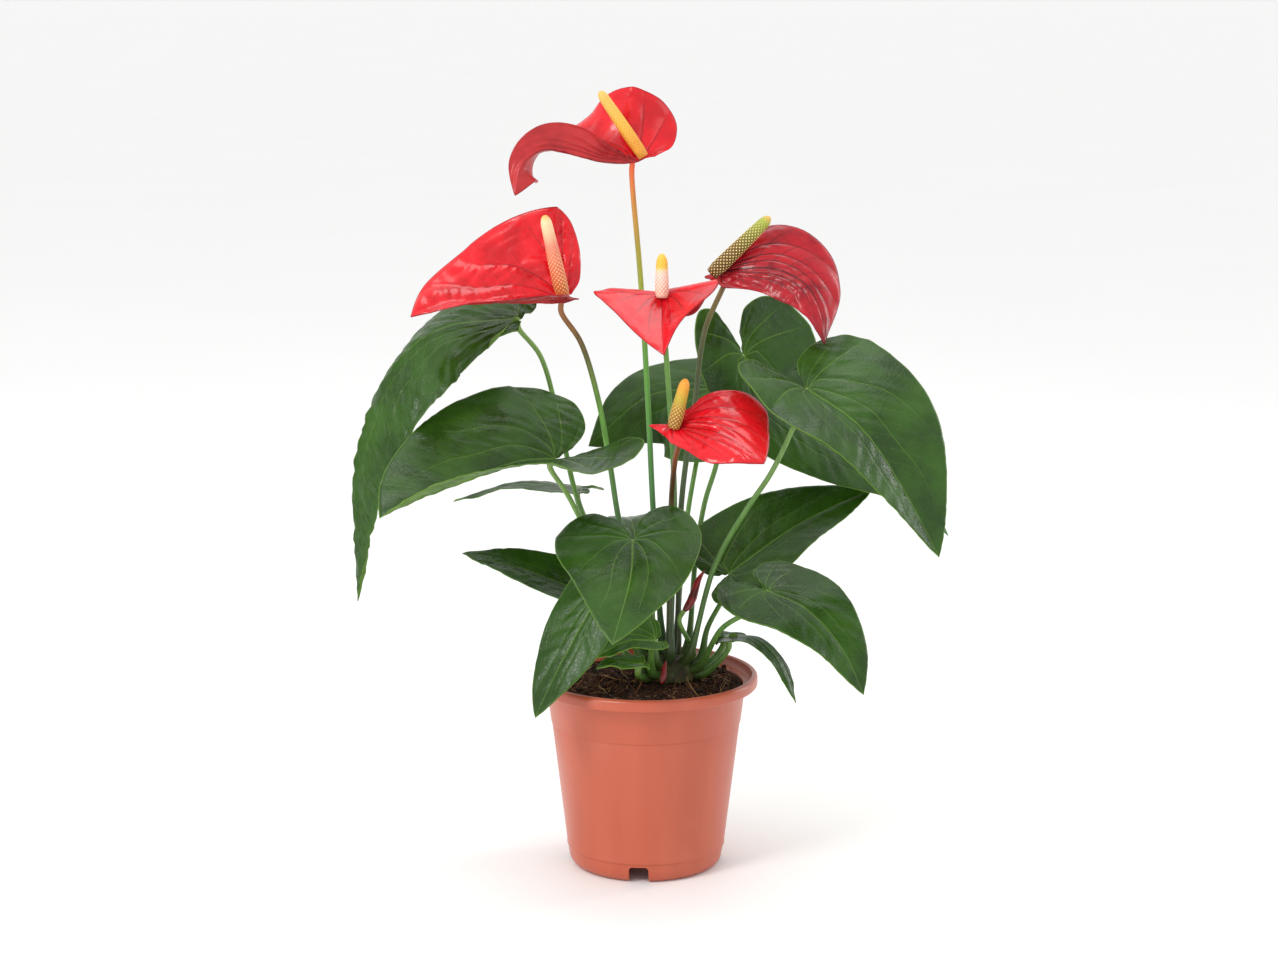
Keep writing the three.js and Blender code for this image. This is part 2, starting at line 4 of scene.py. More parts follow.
import bmesh
import bpy
import numpy as np
from mathutils import Matrix, Vector, noise


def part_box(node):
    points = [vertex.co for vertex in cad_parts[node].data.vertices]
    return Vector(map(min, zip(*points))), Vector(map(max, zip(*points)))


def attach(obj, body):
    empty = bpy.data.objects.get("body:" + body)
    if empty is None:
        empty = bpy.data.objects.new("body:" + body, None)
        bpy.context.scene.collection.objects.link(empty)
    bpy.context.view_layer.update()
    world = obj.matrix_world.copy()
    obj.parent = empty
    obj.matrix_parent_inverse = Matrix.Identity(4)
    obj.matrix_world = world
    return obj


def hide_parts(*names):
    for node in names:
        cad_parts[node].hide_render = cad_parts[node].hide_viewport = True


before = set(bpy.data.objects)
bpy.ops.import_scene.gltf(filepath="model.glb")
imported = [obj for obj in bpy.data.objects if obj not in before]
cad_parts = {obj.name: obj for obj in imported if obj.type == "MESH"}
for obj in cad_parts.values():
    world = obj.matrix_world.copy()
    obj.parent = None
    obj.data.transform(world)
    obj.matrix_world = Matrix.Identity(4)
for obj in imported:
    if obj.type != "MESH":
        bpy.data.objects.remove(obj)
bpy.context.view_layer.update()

# Potted anthurium: pot, soil, crown, sixteen leaves, a bud and five flowers, fitted to the frame.
# Shapes are in millimetres from the pot's own axis, and pieces are placed in metres.

mm = 0.001
potLow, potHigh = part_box("pot")
crownLow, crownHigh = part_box("crown")

potCentre = np.array([(potLow.x + potHigh.x) / 2, (potLow.y + potHigh.y) / 2, 0.0])
rimRadius = (potHigh.x - potLow.x) / 2 / mm
potHeight = potHigh.z / mm
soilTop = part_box("soil")[1].z / mm
rootBody = "root"


def inFrame(points):
    return potCentre + np.asarray(points, float) * mm


def above(point):
    # height is counted from the top of the soil
    return np.array([point[0], point[1], point[2] + soilTop], float)


def beyondRim(bearing, outside, height):
    # a place beside the rim, by bearing, distance outside it and height above it
    reach = rimRadius + outside
    angle = math.radians(bearing)
    return reach * math.cos(angle), reach * math.sin(angle), potHeight + height - soilTop


def tone(red, green, blue):
    # a colour as picked on screen, made linear for a shader
    def linear(value):
        share = value / 255
        return share / 12.92 if share <= 0.04045 else ((share + 0.055) / 1.055) ** 2.4
    return linear(red), linear(green), linear(blue), 1.0


# Curves

def smoothCurve(points, samples=40):
    # centripetal curve through the points, with the length walked to each place
    ends = [np.asarray(p, float) for p in points]
    ends = [2 * ends[0] - ends[1]] + ends + [2 * ends[-1] - ends[-2]]
    places = []
    for i in range(1, len(ends) - 2):
        a, b, c, d = ends[i - 1:i + 3]
        ta, tb, tc = (math.sqrt(np.linalg.norm(v)) for v in (b - a, c - b, d - c))
        leave = ((b - a) / ta - (c - a) / (ta + tb) + (c - b) / tb) * tb
        arrive = ((c - b) / tb - (d - b) / (tb + tc) + (d - c) / tc) * tb
        for s in np.linspace(0, 1, samples, endpoint=False):
            bend = -3 * b + 3 * c - 2 * leave - arrive
            twist = 2 * b - 2 * c + leave + arrive
            places.append(b + leave * s + bend * s * s + twist * s ** 3)
    places.append(ends[-2])
    places = np.array(places)
    steps = np.linalg.norm(np.diff(places, axis=0), axis=1)
    return places, np.concatenate([[0], np.cumsum(steps)])


def placeAt(places, walked, distance):
    return np.stack([np.interp(distance, walked, places[:, i]) for i in range(places.shape[1])], -1)


def unit(vectors):
    return vectors / np.maximum(np.linalg.norm(vectors, axis=-1, keepdims=True), 1e-9)


# Node helpers

def addNode(tree, kind, **settings):
    made = tree.nodes.new(kind)
    for key, value in settings.items():
        setattr(made, key, value)
    return made


def plug(tree, socket, value):
    if isinstance(value, bpy.types.NodeSocket):
        tree.links.new(value, socket)
    else:
        socket.default_value = value


def maths(tree, operation, *values):
    made = addNode(tree, "ShaderNodeMath", operation=operation)
    for socket, value in zip(made.inputs, values):
        plug(tree, socket, value)
    return made.outputs[0]


def mixed(tree, share, first, second, mode="MIX"):
    made = addNode(tree, "ShaderNodeMix", data_type="RGBA", blend_type=mode)
    plug(tree, made.inputs[0], share)
    plug(tree, made.inputs[6], first)
    plug(tree, made.inputs[7], second)
    return made.outputs[2]


def ranged(tree, value, low, high, outLow=0.0, outHigh=1.0):
    made = addNode(tree, "ShaderNodeMapRange", interpolation_type="SMOOTHSTEP")
    for socket, given in zip(made.inputs, (value, low, high, outLow, outHigh)):
        plug(tree, socket, given)
    return made.outputs[0]


def speckled(tree, where, scale, detail=3.0, roughness=0.5):
    made = addNode(tree, "ShaderNodeTexNoise")
    plug(tree, made.inputs["Vector"], where)
    made.inputs["Scale"].default_value = scale
    made.inputs["Detail"].default_value = detail
    made.inputs["Roughness"].default_value = roughness
    return made.outputs["Fac"]


def stretched(tree, where, scale):
    made = addNode(tree, "ShaderNodeMapping")
    plug(tree, made.inputs["Vector"], where)
    made.inputs["Scale"].default_value = scale
    return made.outputs[0]


def ramped(tree, value, stops):
    made = addNode(tree, "ShaderNodeValToRGB")
    plug(tree, made.inputs[0], value)
    points = made.color_ramp.elements
    while len(points) < len(stops):
        points.new(0.5)
    for point, (place, colour) in zip(points, stops):
        point.position = place
        point.color = colour
    return made.outputs[0]


def bumped(tree, height, strength, distance):
    made = addNode(tree, "ShaderNodeBump")
    plug(tree, made.inputs["Height"], height)
    made.inputs["Strength"].default_value = strength
    made.inputs["Distance"].default_value = distance
    return made.outputs[0]


def objectPlace(tree):
    return addNode(tree, "ShaderNodeTexCoord").outputs["Object"]


def carried(tree, name):
    return addNode(tree, "ShaderNodeAttribute", attribute_name=name).outputs["Fac"]


def mapPair(tree, name):
    # the two numbers of one of a piece's own maps
    split = addNode(tree, "ShaderNodeSeparateXYZ")
    tree.links.new(addNode(tree, "ShaderNodeUVMap", uv_map=name).outputs[0], split.inputs[0])
    return split.outputs[0], split.outputs[1]


def newMaterial(name, roughness, coat=0.0, coatRoughness=0.1, specular=0.5):
    material = bpy.data.materials.new(name)
    material.use_nodes = True
    shader = material.node_tree.nodes["Principled BSDF"]
    shader.inputs["Roughness"].default_value = roughness
    shader.inputs["Specular IOR Level"].default_value = specular
    shader.inputs["Coat Weight"].default_value = coat
    shader.inputs["Coat Roughness"].default_value = coatRoughness
    return material, material.node_tree, shader


def finishPiece(name, bm, materials, nodes, smooth=True):
    mesh = bpy.data.meshes.new(name)
    bm.to_mesh(mesh)
    bm.free()
    for material in materials:
        mesh.materials.append(material)
    mesh.polygons.foreach_set("use_smooth", [smooth] * len(mesh.polygons))
    piece = bpy.data.objects.new(name, mesh)
    bpy.context.scene.collection.objects.link(piece)
    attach(piece, rootBody)
    if nodes:
        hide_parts(*nodes)
    return piece


# Camera, lights and floor

view = dict(place=(-3.7, -1414.7, 479.15), pitch=0.188, lens=76.59, sensor=36)

lamps = {
    "keyLight": dict(place=(-0.9, -1.0, 1.4), size=(0.4, 0.5), power=11),
    "fillLight": dict(place=(1.25, -1.2, 0.75), size=(0.4, 0.6), power=1.5),
    "topLight": dict(place=(0.1, 0.25, 1.6), size=(0.6, 0.6), power=4),
    "stripLight": dict(place=(-1.15, -0.75, 0.3), size=(0.12, 0.5), power=2.5),
    "edgeLight": dict(place=(1.1, 0.55, 0.55), size=(0.15, 0.9), power=3),
}
stage = dict(
    aimHeight=0.2, floorSize=120.0, floorColour=(0.9, 0.9, 0.895, 1), skyColour=(1, 1, 1, 1), skyStrength=1.0)


def makeCamera():
    data = bpy.data.cameras.new("camera")
    data.lens = view["lens"]
    data.sensor_width = view["sensor"]
    data.clip_end = 200
    camera = bpy.data.objects.new("camera", data)
    camera.location = inFrame(view["place"])
    camera.rotation_euler = (math.pi / 2 - view["pitch"], 0, 0)
    bpy.context.scene.collection.objects.link(camera)
    bpy.context.scene.camera = camera


def makeLights():
    aim = Vector(potCentre) + Vector((0, 0, stage["aimHeight"]))
    for name, lamp in lamps.items():
        data = bpy.data.lights.new(name, "AREA")
        data.shape = "RECTANGLE"
        data.size, data.size_y = lamp["size"]
        data.energy = lamp["power"]
        light = bpy.data.objects.new(name, data)
        light.location = lamp["place"]
        light.rotation_euler = (aim - light.location).to_track_quat("-Z", "Y").to_euler()
        bpy.context.scene.collection.objects.link(light)
    world = bpy.data.worlds.new("studio")
    world.use_nodes = True
    sky = world.node_tree.nodes["Background"]
    sky.inputs["Color"].default_value = stage["skyColour"]
    sky.inputs["Strength"].default_value = stage["skyStrength"]
    bpy.context.scene.world = world
    bpy.context.scene.view_settings.view_transform = "Standard"
    bpy.context.scene.view_settings.look = "None"


def makeFloor():
    material, tree, shader = newMaterial("paleFloor", 0.6)
    cloud = speckled(tree, objectPlace(tree), 3)
    lighter = tuple(v * 1.03 for v in stage["floorColour"][:3]) + (1,)
    plug(tree, shader.inputs["Base Color"], mixed(tree, cloud, stage["floorColour"], lighter))
    bm = bmesh.new()
    bmesh.ops.create_grid(bm, x_segments=4, y_segments=4, size=stage["floorSize"])
    mesh = bpy.data.meshes.new("floor")
    bm.to_mesh(mesh)
    bm.free()
    mesh.materials.append(material)
    floor = bpy.data.objects.new("floor", mesh)
    bpy.context.scene.collection.objects.link(floor)


makeCamera()
makeLights()
makeFloor()
print("stage: camera, lights and floor")


# Pot

pot = dict(
    segments=160, rimDepth=6.4, rimOverhang=7, rimRoll=3.2, wall=1.2, footRadius=42.4, footHeight=11,
    footStep=0.5, footToe=5, bandBelowTop=26.4, bandStep=0.35, notchCount=4, notchWidth=10.5,
    notchHeight=9, notchCorner=2, firstNotch=-95.5, holes=6, holeRadius=3, holeInset=11,
    brimCorner=2.3, lipCorner=1.1, fillet=0.6, smoothUpTo=38,
    colour=tone(182, 84, 56), deep=tone(164, 70, 46), worn=tone(200, 116, 90))
wallTop = rimRadius - pot["rimOverhang"]


def wallRadius(height):
    share = (height - pot["footHeight"]) / (potHeight - pot["rimDepth"] - pot["footHeight"])
    return pot["footRadius"] + (wallTop - pot["footRadius"]) * share


def arc(centre, radius, start, stop, steps=6):
    angles = np.radians(np.linspace(start, stop, steps + 1))
    return [(centre[0] + radius * math.cos(a), centre[1] + radius * math.sin(a)) for a in angles]


def potProfile():
    rimBottom = potHeight - pot["rimDepth"]
    band = potHeight - pot["bandBelowTop"]
    foot = pot["footRadius"] - pot["footStep"]
    floorTop = pot["footHeight"] + pot["wall"]
    inside = foot - pot["footToe"] - 1.5 * pot["wall"]
    lip = rimRadius - pot["rimRoll"]
    step = pot["bandStep"]
    corner = pot["brimCorner"]
    small = pot["lipCorner"]
    fillet = pot["fillet"]
    # up the recess under the floor, then round the foot ring
    profile = [(0, pot["footHeight"]), (inside - fillet, pot["footHeight"])]
    profile += [(inside, pot["footHeight"] - fillet), (inside, 0.5), (inside + 0.4, 0), (foot - 5.2, 0)]
    profile += [(foot - 4.2, 0.25), (foot - 2.7, 1.1), (foot - 1.4, 2.5), (foot - 0.6, 4.4)]
    profile += [(foot - 0.1, 7.2), (foot, pot["footHeight"] - 1.3), (foot + 0.15, pot["footHeight"] - 0.5)]
    profile += [(pot["footRadius"] + 0.25, pot["footHeight"] - 0.1)]
    profile += [(pot["footRadius"] + 0.3, pot["footHeight"] + 0.3)]
    profile += [(wallRadius(pot["footHeight"] + 1), pot["footHeight"] + 1)]
    for share in (0.25, 0.5, 0.75):
        height = pot["footHeight"] + (band - pot["footHeight"]) * share
        profile.append((wallRadius(height), height))
    profile += [(wallRadius(band - 0.5), band - 0.5), (wallRadius(band) - 0.15, band - 0.1)]
    profile += [(wallRadius(band) - 0.1, band + 0.15), (wallRadius(band) + step, band + 0.45)]
    profile += [(wallRadius(band + 1.2) + step, band + 1.2), (wallTop + step, rimBottom - 1)]
    profile += [(wallTop + step + 0.4, rimBottom - 0.3), (wallTop + step + 1, rimBottom)]
    # round the rolled rim and back down inside
    profile += arc((rimRadius - small, rimBottom + small), small, -90, -10, 5)
    profile += arc((rimRadius - corner, potHeight - corner), corner, 10, 90, 8)
    profile += arc((lip + small, potHeight - small), small, 90, 180, 5)
    profile += [(lip - 0.4, rimBottom + pot["wall"] + 1), (lip - 1.2, rimBottom + pot["wall"])]
    profile += [(wallTop - pot["wall"] + fillet, rimBottom + pot["wall"] - 0.2)]
    profile += [(wallTop - pot["wall"], rimBottom + pot["wall"] - 1)]
    profile += [(pot["footRadius"] - pot["wall"], floorTop + fillet)]
    profile += [(pot["footRadius"] - pot["wall"] - 0.8, floorTop), (0, floorTop)]
    return profile


def spunShape(bm, profile, segments):
    verts = [bm.verts.new((radius, 0, height)) for radius, height in profile]
    edges = [bm.edges.new(pair) for pair in zip(verts, verts[1:])]
    bmesh.ops.spin(bm, geom=verts + edges, cent=(0, 0, 0), axis=(0, 0, 1),
                   angle=2 * math.pi, steps=segments, use_merge=True)
    bmesh.ops.remove_doubles(bm, verts=bm.verts, dist=1e-4)
    bmesh.ops.recalc_face_normals(bm, faces=bm.faces)


def cutterShape(bm, depth):
    # a block with rounded upper corners, lying along X
    half = pot["notchWidth"] / 2
    high = pot["notchHeight"] - pot["notchCorner"]
    outline = [(-half, -2), (half, -2)]
    outline += arc((half - pot["notchCorner"], high), pot["notchCorner"], 0, 90)
    outline += arc((-half + pot["notchCorner"], high), pot["notchCorner"], 90, 180)
    verts = [bm.verts.new((depth / 2, y, z)) for y, z in outline]
    face = bm.faces.new(verts)
    made = bmesh.ops.extrude_face_region(bm, geom=[face])["geom"]
    moved = [g for g in made if isinstance(g, bmesh.types.BMVert)]
    bmesh.ops.translate(bm, vec=(depth / 2, 0, 0), verts=moved)
    return verts + moved


def cutHoles(piece):
    bm = bmesh.new()
    for i in range(pot["notchCount"]):
        verts = cutterShape(bm, pot["footRadius"] + 5)
        turn = Matrix.Rotation(math.radians(pot["firstNotch"] + i * 360 / pot["notchCount"]), 3, "Z")
        bmesh.ops.rotate(bm, matrix=turn, cent=(0, 0, 0), verts=verts)
    circle = pot["footRadius"] - pot["holeInset"] - pot["holeRadius"]
    for i in range(pot["holes"]):
        angle = i * 2 * math.pi / pot["holes"]
        made = bmesh.ops.create_cone(bm, cap_ends=True, segments=32, radius1=pot["holeRadius"],
                                     radius2=pot["holeRadius"], depth=6)
        place = (circle * math.cos(angle), circle * math.sin(angle), pot["footHeight"])
        bmesh.ops.translate(bm, vec=place, verts=made["verts"])
    bmesh.ops.recalc_face_normals(bm, faces=bm.faces)
    placeShape(bm)
    mesh = bpy.data.meshes.new("potCutter")
    bm.to_mesh(mesh)
    bm.free()
    cutter = bpy.data.objects.new("potCutter", mesh)
    bpy.context.scene.collection.objects.link(cutter)
    cut = piece.modifiers.new("notches", "BOOLEAN")
    cut.object = cutter
    cut.solver = "EXACT"
    graph = bpy.context.evaluated_depsgraph_get()
    cleaned = bpy.data.meshes.new_from_object(piece.evaluated_get(graph))
    piece.modifiers.clear()
    old = piece.data
    piece.data = cleaned
    bpy.data.meshes.remove(old)
    bpy.data.objects.remove(cutter)


def placeShape(bm):
    # from millimetres round the pot's axis to its place in metres
    bmesh.ops.scale(bm, vec=(mm, mm, mm), verts=bm.verts)
    bmesh.ops.translate(bm, vec=Vector(potCentre), verts=bm.verts)


def potMaterial():
    material, tree, shader = newMaterial("terracottaPlastic", 0.36, coat=0.12, coatRoughness=0.28)
    place = objectPlace(tree)
    flow = speckled(tree, stretched(tree, place, (60, 60, 3)), 1.0, 4)
    cloud = speckled(tree, place, 14)
    colour = mixed(tree, ranged(tree, flow, 0.35, 0.65, 0, 0.35), pot["colour"], pot["deep"])
    colour = mixed(tree, ranged(tree, cloud, 0.55, 0.8, 0, 0.3), colour, pot["worn"])
    scuff = speckled(tree, stretched(tree, place, (40, 40, 400)), 3.0, 6, 0.7)
    colour = mixed(tree, ranged(tree, scuff, 0.66, 0.74, 0, 0.35), colour, pot["worn"])
    plug(tree, shader.inputs["Base Color"], colour)
    plug(tree, shader.inputs["Roughness"], ranged(tree, cloud, 0.3, 0.7, 0.3, 0.42))
    grain = speckled(tree, place, 1600, 2)
    plug(tree, shader.inputs["Normal"], bumped(tree, grain, 0.12, 0.0002))
    return material


def makePot():
    bm = bmesh.new()
    spunShape(bm, potProfile(), pot["segments"])
    placeShape(bm)
    piece = finishPiece("pot", bm, [potMaterial()], ["pot"])
    cutHoles(piece)
    piece.data.polygons.foreach_set("use_smooth", [True] * len(piece.data.polygons))
    piece.data.set_sharp_from_angle(angle=math.radians(pot["smoothUpTo"]))


makePot()
print("pot: spun, notched and drilled")


# Soil with coir

soil = dict(
    segments=144, rings=60, edgeBelowRim=6, mound=3, gap=0.3, clump=1.5, grit=0.55, seed=11,
    fibres=620, fibrePoints=6, shortFibre=(4, 13), longFibre=(13, 24), shortShare=0.8,
    fibreRadius=(0.1, 0.27), crumbs=1100, crumbShapes=6, smallCrumb=(0.7, 2.6), bigCrumb=(2.6, 4.6),
    smallShare=0.9,
    dark=tone(34, 20, 14), brown=tone(74, 42, 28), tan=tone(150, 104, 62))


def moundHeight(radius):
    edge = potHeight - soil["edgeBelowRim"]
    share = min(radius / (wallTop - pot["wall"]), 1)
    return edge + soil["mound"] * (1 - share * share)


def roughHeight(x, y):
    spot = Vector((x, y, 3.0))
    clumps = noise.fractal(spot * 0.16, 1.0, 2.0, 3)
    grit = noise.noise(spot * 0.9)
    return moundHeight(math.hypot(x, y)) + soil["clump"] * clumps + soil["grit"] * grit


def soilMaterial():
    material, tree, shader = newMaterial("pottingSoil", 0.95, specular=0.25)
    place = objectPlace(tree)
    coarse = speckled(tree, place, 160, 6, 0.65)
    fine = speckled(tree, place, 900, 4)
    colour = mixed(tree, ranged(tree, coarse, 0.4, 0.68), soil["dark"], soil["brown"])
    colour = mixed(tree, ranged(tree, fine, 0.62, 0.74, 0, 0.55), colour, soil["tan"])
    plug(tree, shader.inputs["Base Color"], colour)
    plug(tree, shader.inputs["Normal"], bumped(tree, fine, 0.8, 0.0008))
    return material


def fibreMaterial():
    material, tree, shader = newMaterial("coirFibre", 0.7, specular=0.35)
    stops = [
        (0.0, tone(58, 30, 20)), (0.35, tone(110, 62, 38)), (0.65, tone(150, 102, 60)),
        (1.0, tone(196, 156, 108))]
    colour = ramped(tree, carried(tree, "shade"), stops)
    streak = speckled(tree, objectPlace(tree), 700)
    colour = mixed(tree, ranged(tree, streak, 0.4, 0.7, 0, 0.4), colour, soil["brown"])
    plug(tree, shader.inputs["Base Color"], colour)
    return material


def makeSoil():
    floorTop = pot["footHeight"] + pot["wall"] + soil["gap"]
    inside = pot["wall"] + soil["gap"]
    outer = wallTop - inside - 0.5
    shoulder = potHeight - 20
    profile = [(0, floorTop), (pot["footRadius"] - inside - 1, floorTop)]
    profile += [(pot["footRadius"] - inside, floorTop + 1)]
    profile += [(wallRadius(shoulder) - inside - 0.4, shoulder), (outer, moundHeight(outer) - 1.5)]
    profile += [(outer * (1 - i / soil["rings"]), moundHeight(outer)) for i in range(soil["rings"] + 1)]
    bm = bmesh.new()
    spunShape(bm, profile, soil["segments"])
    for vert in bm.verts:
        radius = math.hypot(vert.co.x, vert.co.y)
        if vert.co.z > moundHeight(outer) - 0.01:
            tucked = min(1, (outer - radius) / 3)
            rough = roughHeight(vert.co.x, vert.co.y) - moundHeight(radius)
            vert.co.z = moundHeight(radius) + rough * tucked
    placeShape(bm)
    finishPiece("soil", bm, [soilMaterial()], ["soil"])


def crumbShape(rng):
    bm = bmesh.new()
    bmesh.ops.create_icosphere(bm, subdivisions=1, radius=0.5)
    for vert in bm.verts:
        vert.co *= rng.uniform(0.7, 1.25)
    mesh = bpy.data.meshes.new("crumbShape")
    bm.to_mesh(mesh)
    bm.free()
    return mesh


def crumbPose(rng):
    span = soil["smallCrumb"] if rng.random() < soil["smallShare"] else soil["bigCrumb"]
    size = rng.uniform(*span)
    turn = Matrix.Rotation(rng.uniform(0, 6.28), 4, "Z") @ Matrix.Rotation(rng.uniform(0, 6.28), 4, "X")
    squash = Matrix.Diagonal((size, size * 0.75, size * 0.6, 1))
    return Matrix.Translation((0, 0, size * 0.12)) @ turn @ squash


def makeCrumbs():
    rng = random.Random(soil["seed"])
    shapes = [crumbShape(rng) for i in range(soil["crumbShapes"])]
    material = soilMaterial()
    bm = bmesh.new()
    shade = bm.verts.layers.float.new("shade")
    reach = wallTop - pot["wall"] - 2.5
    for i in range(soil["crumbs"]):
        radius = reach * math.sqrt(rng.random())
        angle = rng.uniform(0, 2 * math.pi)
        x, y = radius * math.cos(angle), radius * math.sin(angle)
        before = len(bm.verts)
        bm.from_mesh(rng.choice(shapes))
        bm.verts.ensure_lookup_table()
        fresh = bm.verts[before:]
        matrix = Matrix.Translation((x, y, roughHeight(x, y))) @ crumbPose(rng)
        bmesh.ops.transform(bm, matrix=matrix, verts=fresh)
        tint = rng.random()
        for vert in fresh:
            vert[shade] = tint
            over = math.hypot(vert.co.x, vert.co.y) - reach
            if over > 0:
                vert.co.x -= vert.co.x / (reach + over) * over
                vert.co.y -= vert.co.y / (reach + over) * over
    placeShape(bm)
    finishPiece("soilCrumbs", bm, [material], [], smooth=False)
    for shape in shapes:
        bpy.data.meshes.remove(shape)


makeSoil()
makeCrumbs()
print("soil: root ball and crumbs")


# Tubes, for the fibres and the stalks

def sweptTube(bm, places, radii, segments, layer=None, shares=None):
    # a ring carried along the places, closed at both ends
    places = [Vector(p) for p in places]
    count = len(places)
    made = bmesh.ops.create_circle(bm, segments=segments, radius=1, cap_ends=True)["verts"]
    ring = list(made)
    heading = Vector((0, 0, 1))
    turn = Matrix.Identity(3)
    before = Matrix.Identity(4)
    for i in range(count):
        ahead = (places[min(i + 1, count - 1)] - places[max(i - 1, 0)]).normalized()
        turn = heading.rotation_difference(ahead).to_matrix() @ turn
        heading = ahead
        pose = Matrix.Translation(places[i]) @ turn.to_4x4() @ Matrix.Diagonal((radii[i],) * 3 + (1,))
        if i > 0:
            inRing = set(ring)
            edges = [e for v in ring for e in v.link_edges if e.verts[0] in inRing and e.verts[1] in inRing]
            grown = bmesh.ops.extrude_edge_only(bm, edges=list(set(edges)))["geom"]
            ring = [g for g in grown if isinstance(g, bmesh.types.BMVert)]
        bmesh.ops.transform(bm, matrix=pose @ before.inverted(), verts=ring)
        before = pose
        if layer is not None:
            for vert in ring:
                vert[layer] = shares[i]
    inRing = set(ring)
    rim = {e for v in ring for e in v.link_edges if e.verts[0] in inRing and e.verts[1] in inRing}
    bmesh.ops.contextual_create(bm, geom=list(rim))


def makeFibres():
    rng = random.Random(soil["seed"] + 1)
    bm = bmesh.new()
    bm.verts.layers.float.new("shade")
    reach = wallTop - pot["wall"] - 2.2
    count = soil["fibrePoints"]
    for i in range(soil["fibres"]):
        part = bmesh.new()
        partShade = part.verts.layers.float.new("shade")
        radius = reach * math.sqrt(rng.random())
        angle = rng.uniform(0, 2 * math.pi)
        heading = rng.uniform(0, 2 * math.pi)
        span = soil["shortFibre"] if rng.random() < soil["shortShare"] else soil["longFibre"]
        long = rng.uniform(*span)
        thick = rng.uniform(*soil["fibreRadius"])
        curve = rng.gauss(0, 0.11)
        climb = abs(rng.gauss(0, 0.1)) if rng.random() < 0.85 else rng.uniform(0.3, 1.1)
        x, y, lift = radius * math.cos(angle), radius * math.sin(angle), -0.5
        tint = rng.random()
        path = []
        for step in range(count):
            over = math.hypot(x, y) / reach
            if over > 1:
                x, y = x / over, y / over
            path.append((x, y, roughHeight(x, y) + 0.25 + max(lift, -0.4)))
            x += long / (count - 1) * math.cos(heading)
            y += long / (count - 1) * math.sin(heading)
            lift += long / (count - 1) * climb
            climb -= 0.12
            heading += curve * long / (count - 1)
        radii = [thick] * (count - 2) + [thick * 0.8, thick * 0.4]
        sweptTube(part, path, radii, 3, partShade, [tint] * count)
        mesh = bpy.data.meshes.new("fibre")
        part.to_mesh(mesh)
        part.free()
        bm.from_mesh(mesh)
        bpy.data.meshes.remove(mesh)
    bmesh.ops.recalc_face_normals(bm, faces=bm.faces)
    placeShape(bm)
    finishPiece("coirFibres", bm, [fibreMaterial()], [])


makeFibres()
print("soil: coir fibres")


# Blades

leafOutline = [
    (0.07, -0.5), (0.25, -0.92), (0.52, -1), (0.8, -0.72), (0.97, -0.2), (1, 0.1),
    (0.9, 0.33), (0.68, 0.56), (0.4, 0.77), (0.16, 0.92), (0, 1)]
narrowOutline = [
    (0.1, -0.5), (0.34, -0.9), (0.62, -0.95), (0.86, -0.6), (0.97, -0.1), (1, 0.2),
    (0.92, 0.42), (0.72, 0.63), (0.44, 0.82), (0.18, 0.94), (0, 1)]
spatheOutline = [
    (0.08, -0.5), (0.28, -0.95), (0.55, -1), (0.84, -0.66), (0.99, -0.1), (1, 0.2),
    (0.88, 0.46), (0.64, 0.7), (0.36, 0.87), (0.13, 0.96), (0, 1)]
# a rounded half that narrows early, a corner beside the stalk or ahead, a point behind it
shoulderOutline = [
    (0.08, -0.5), (0.3, -0.95), (0.58, -0.98), (0.86, -0.6), (1, -0.05), (0.96, 0.18),
    (0.78, 0.36), (0.52, 0.5), (0.34, 0.66), (0.16, 0.86), (0, 1)]
cornerOutline = [
    (0.08, -0.5), (0.3, -0.9), (0.6, -0.85), (0.88, -0.4), (1, 0), (0.88, 0.13),
    (0.68, 0.32), (0.47, 0.54), (0.27, 0.75), (0.1, 0.92), (0, 1)]
wingOutline = [
    (0.08, -0.3), (0.3, 0.05), (0.55, 0.13), (0.8, 0.25), (0.97, 0.39), (0.93, 0.52),
    (0.7, 0.66), (0.46, 0.79), (0.24, 0.9), (0.09, 0.97), (0, 1)]
slantOutline = [
    (0.08, -0.5), (0.28, 0.03), (0.5, 0.08), (0.74, 0.14), (0.93, 0.23), (1, 0.34),
    (0.9, 0.5), (0.7, 0.66), (0.42, 0.8), (0.18, 0.92), (0, 1)]
pointOutline = [
    (0.03, -0.62), (0.12, -1), (0.3, -0.55), (0.5, -0.12), (0.72, 0.14), (0.93, 0.36),
    (0.97, 0.54), (0.78, 0.7), (0.48, 0.84), (0.2, 0.94), (0, 1)]

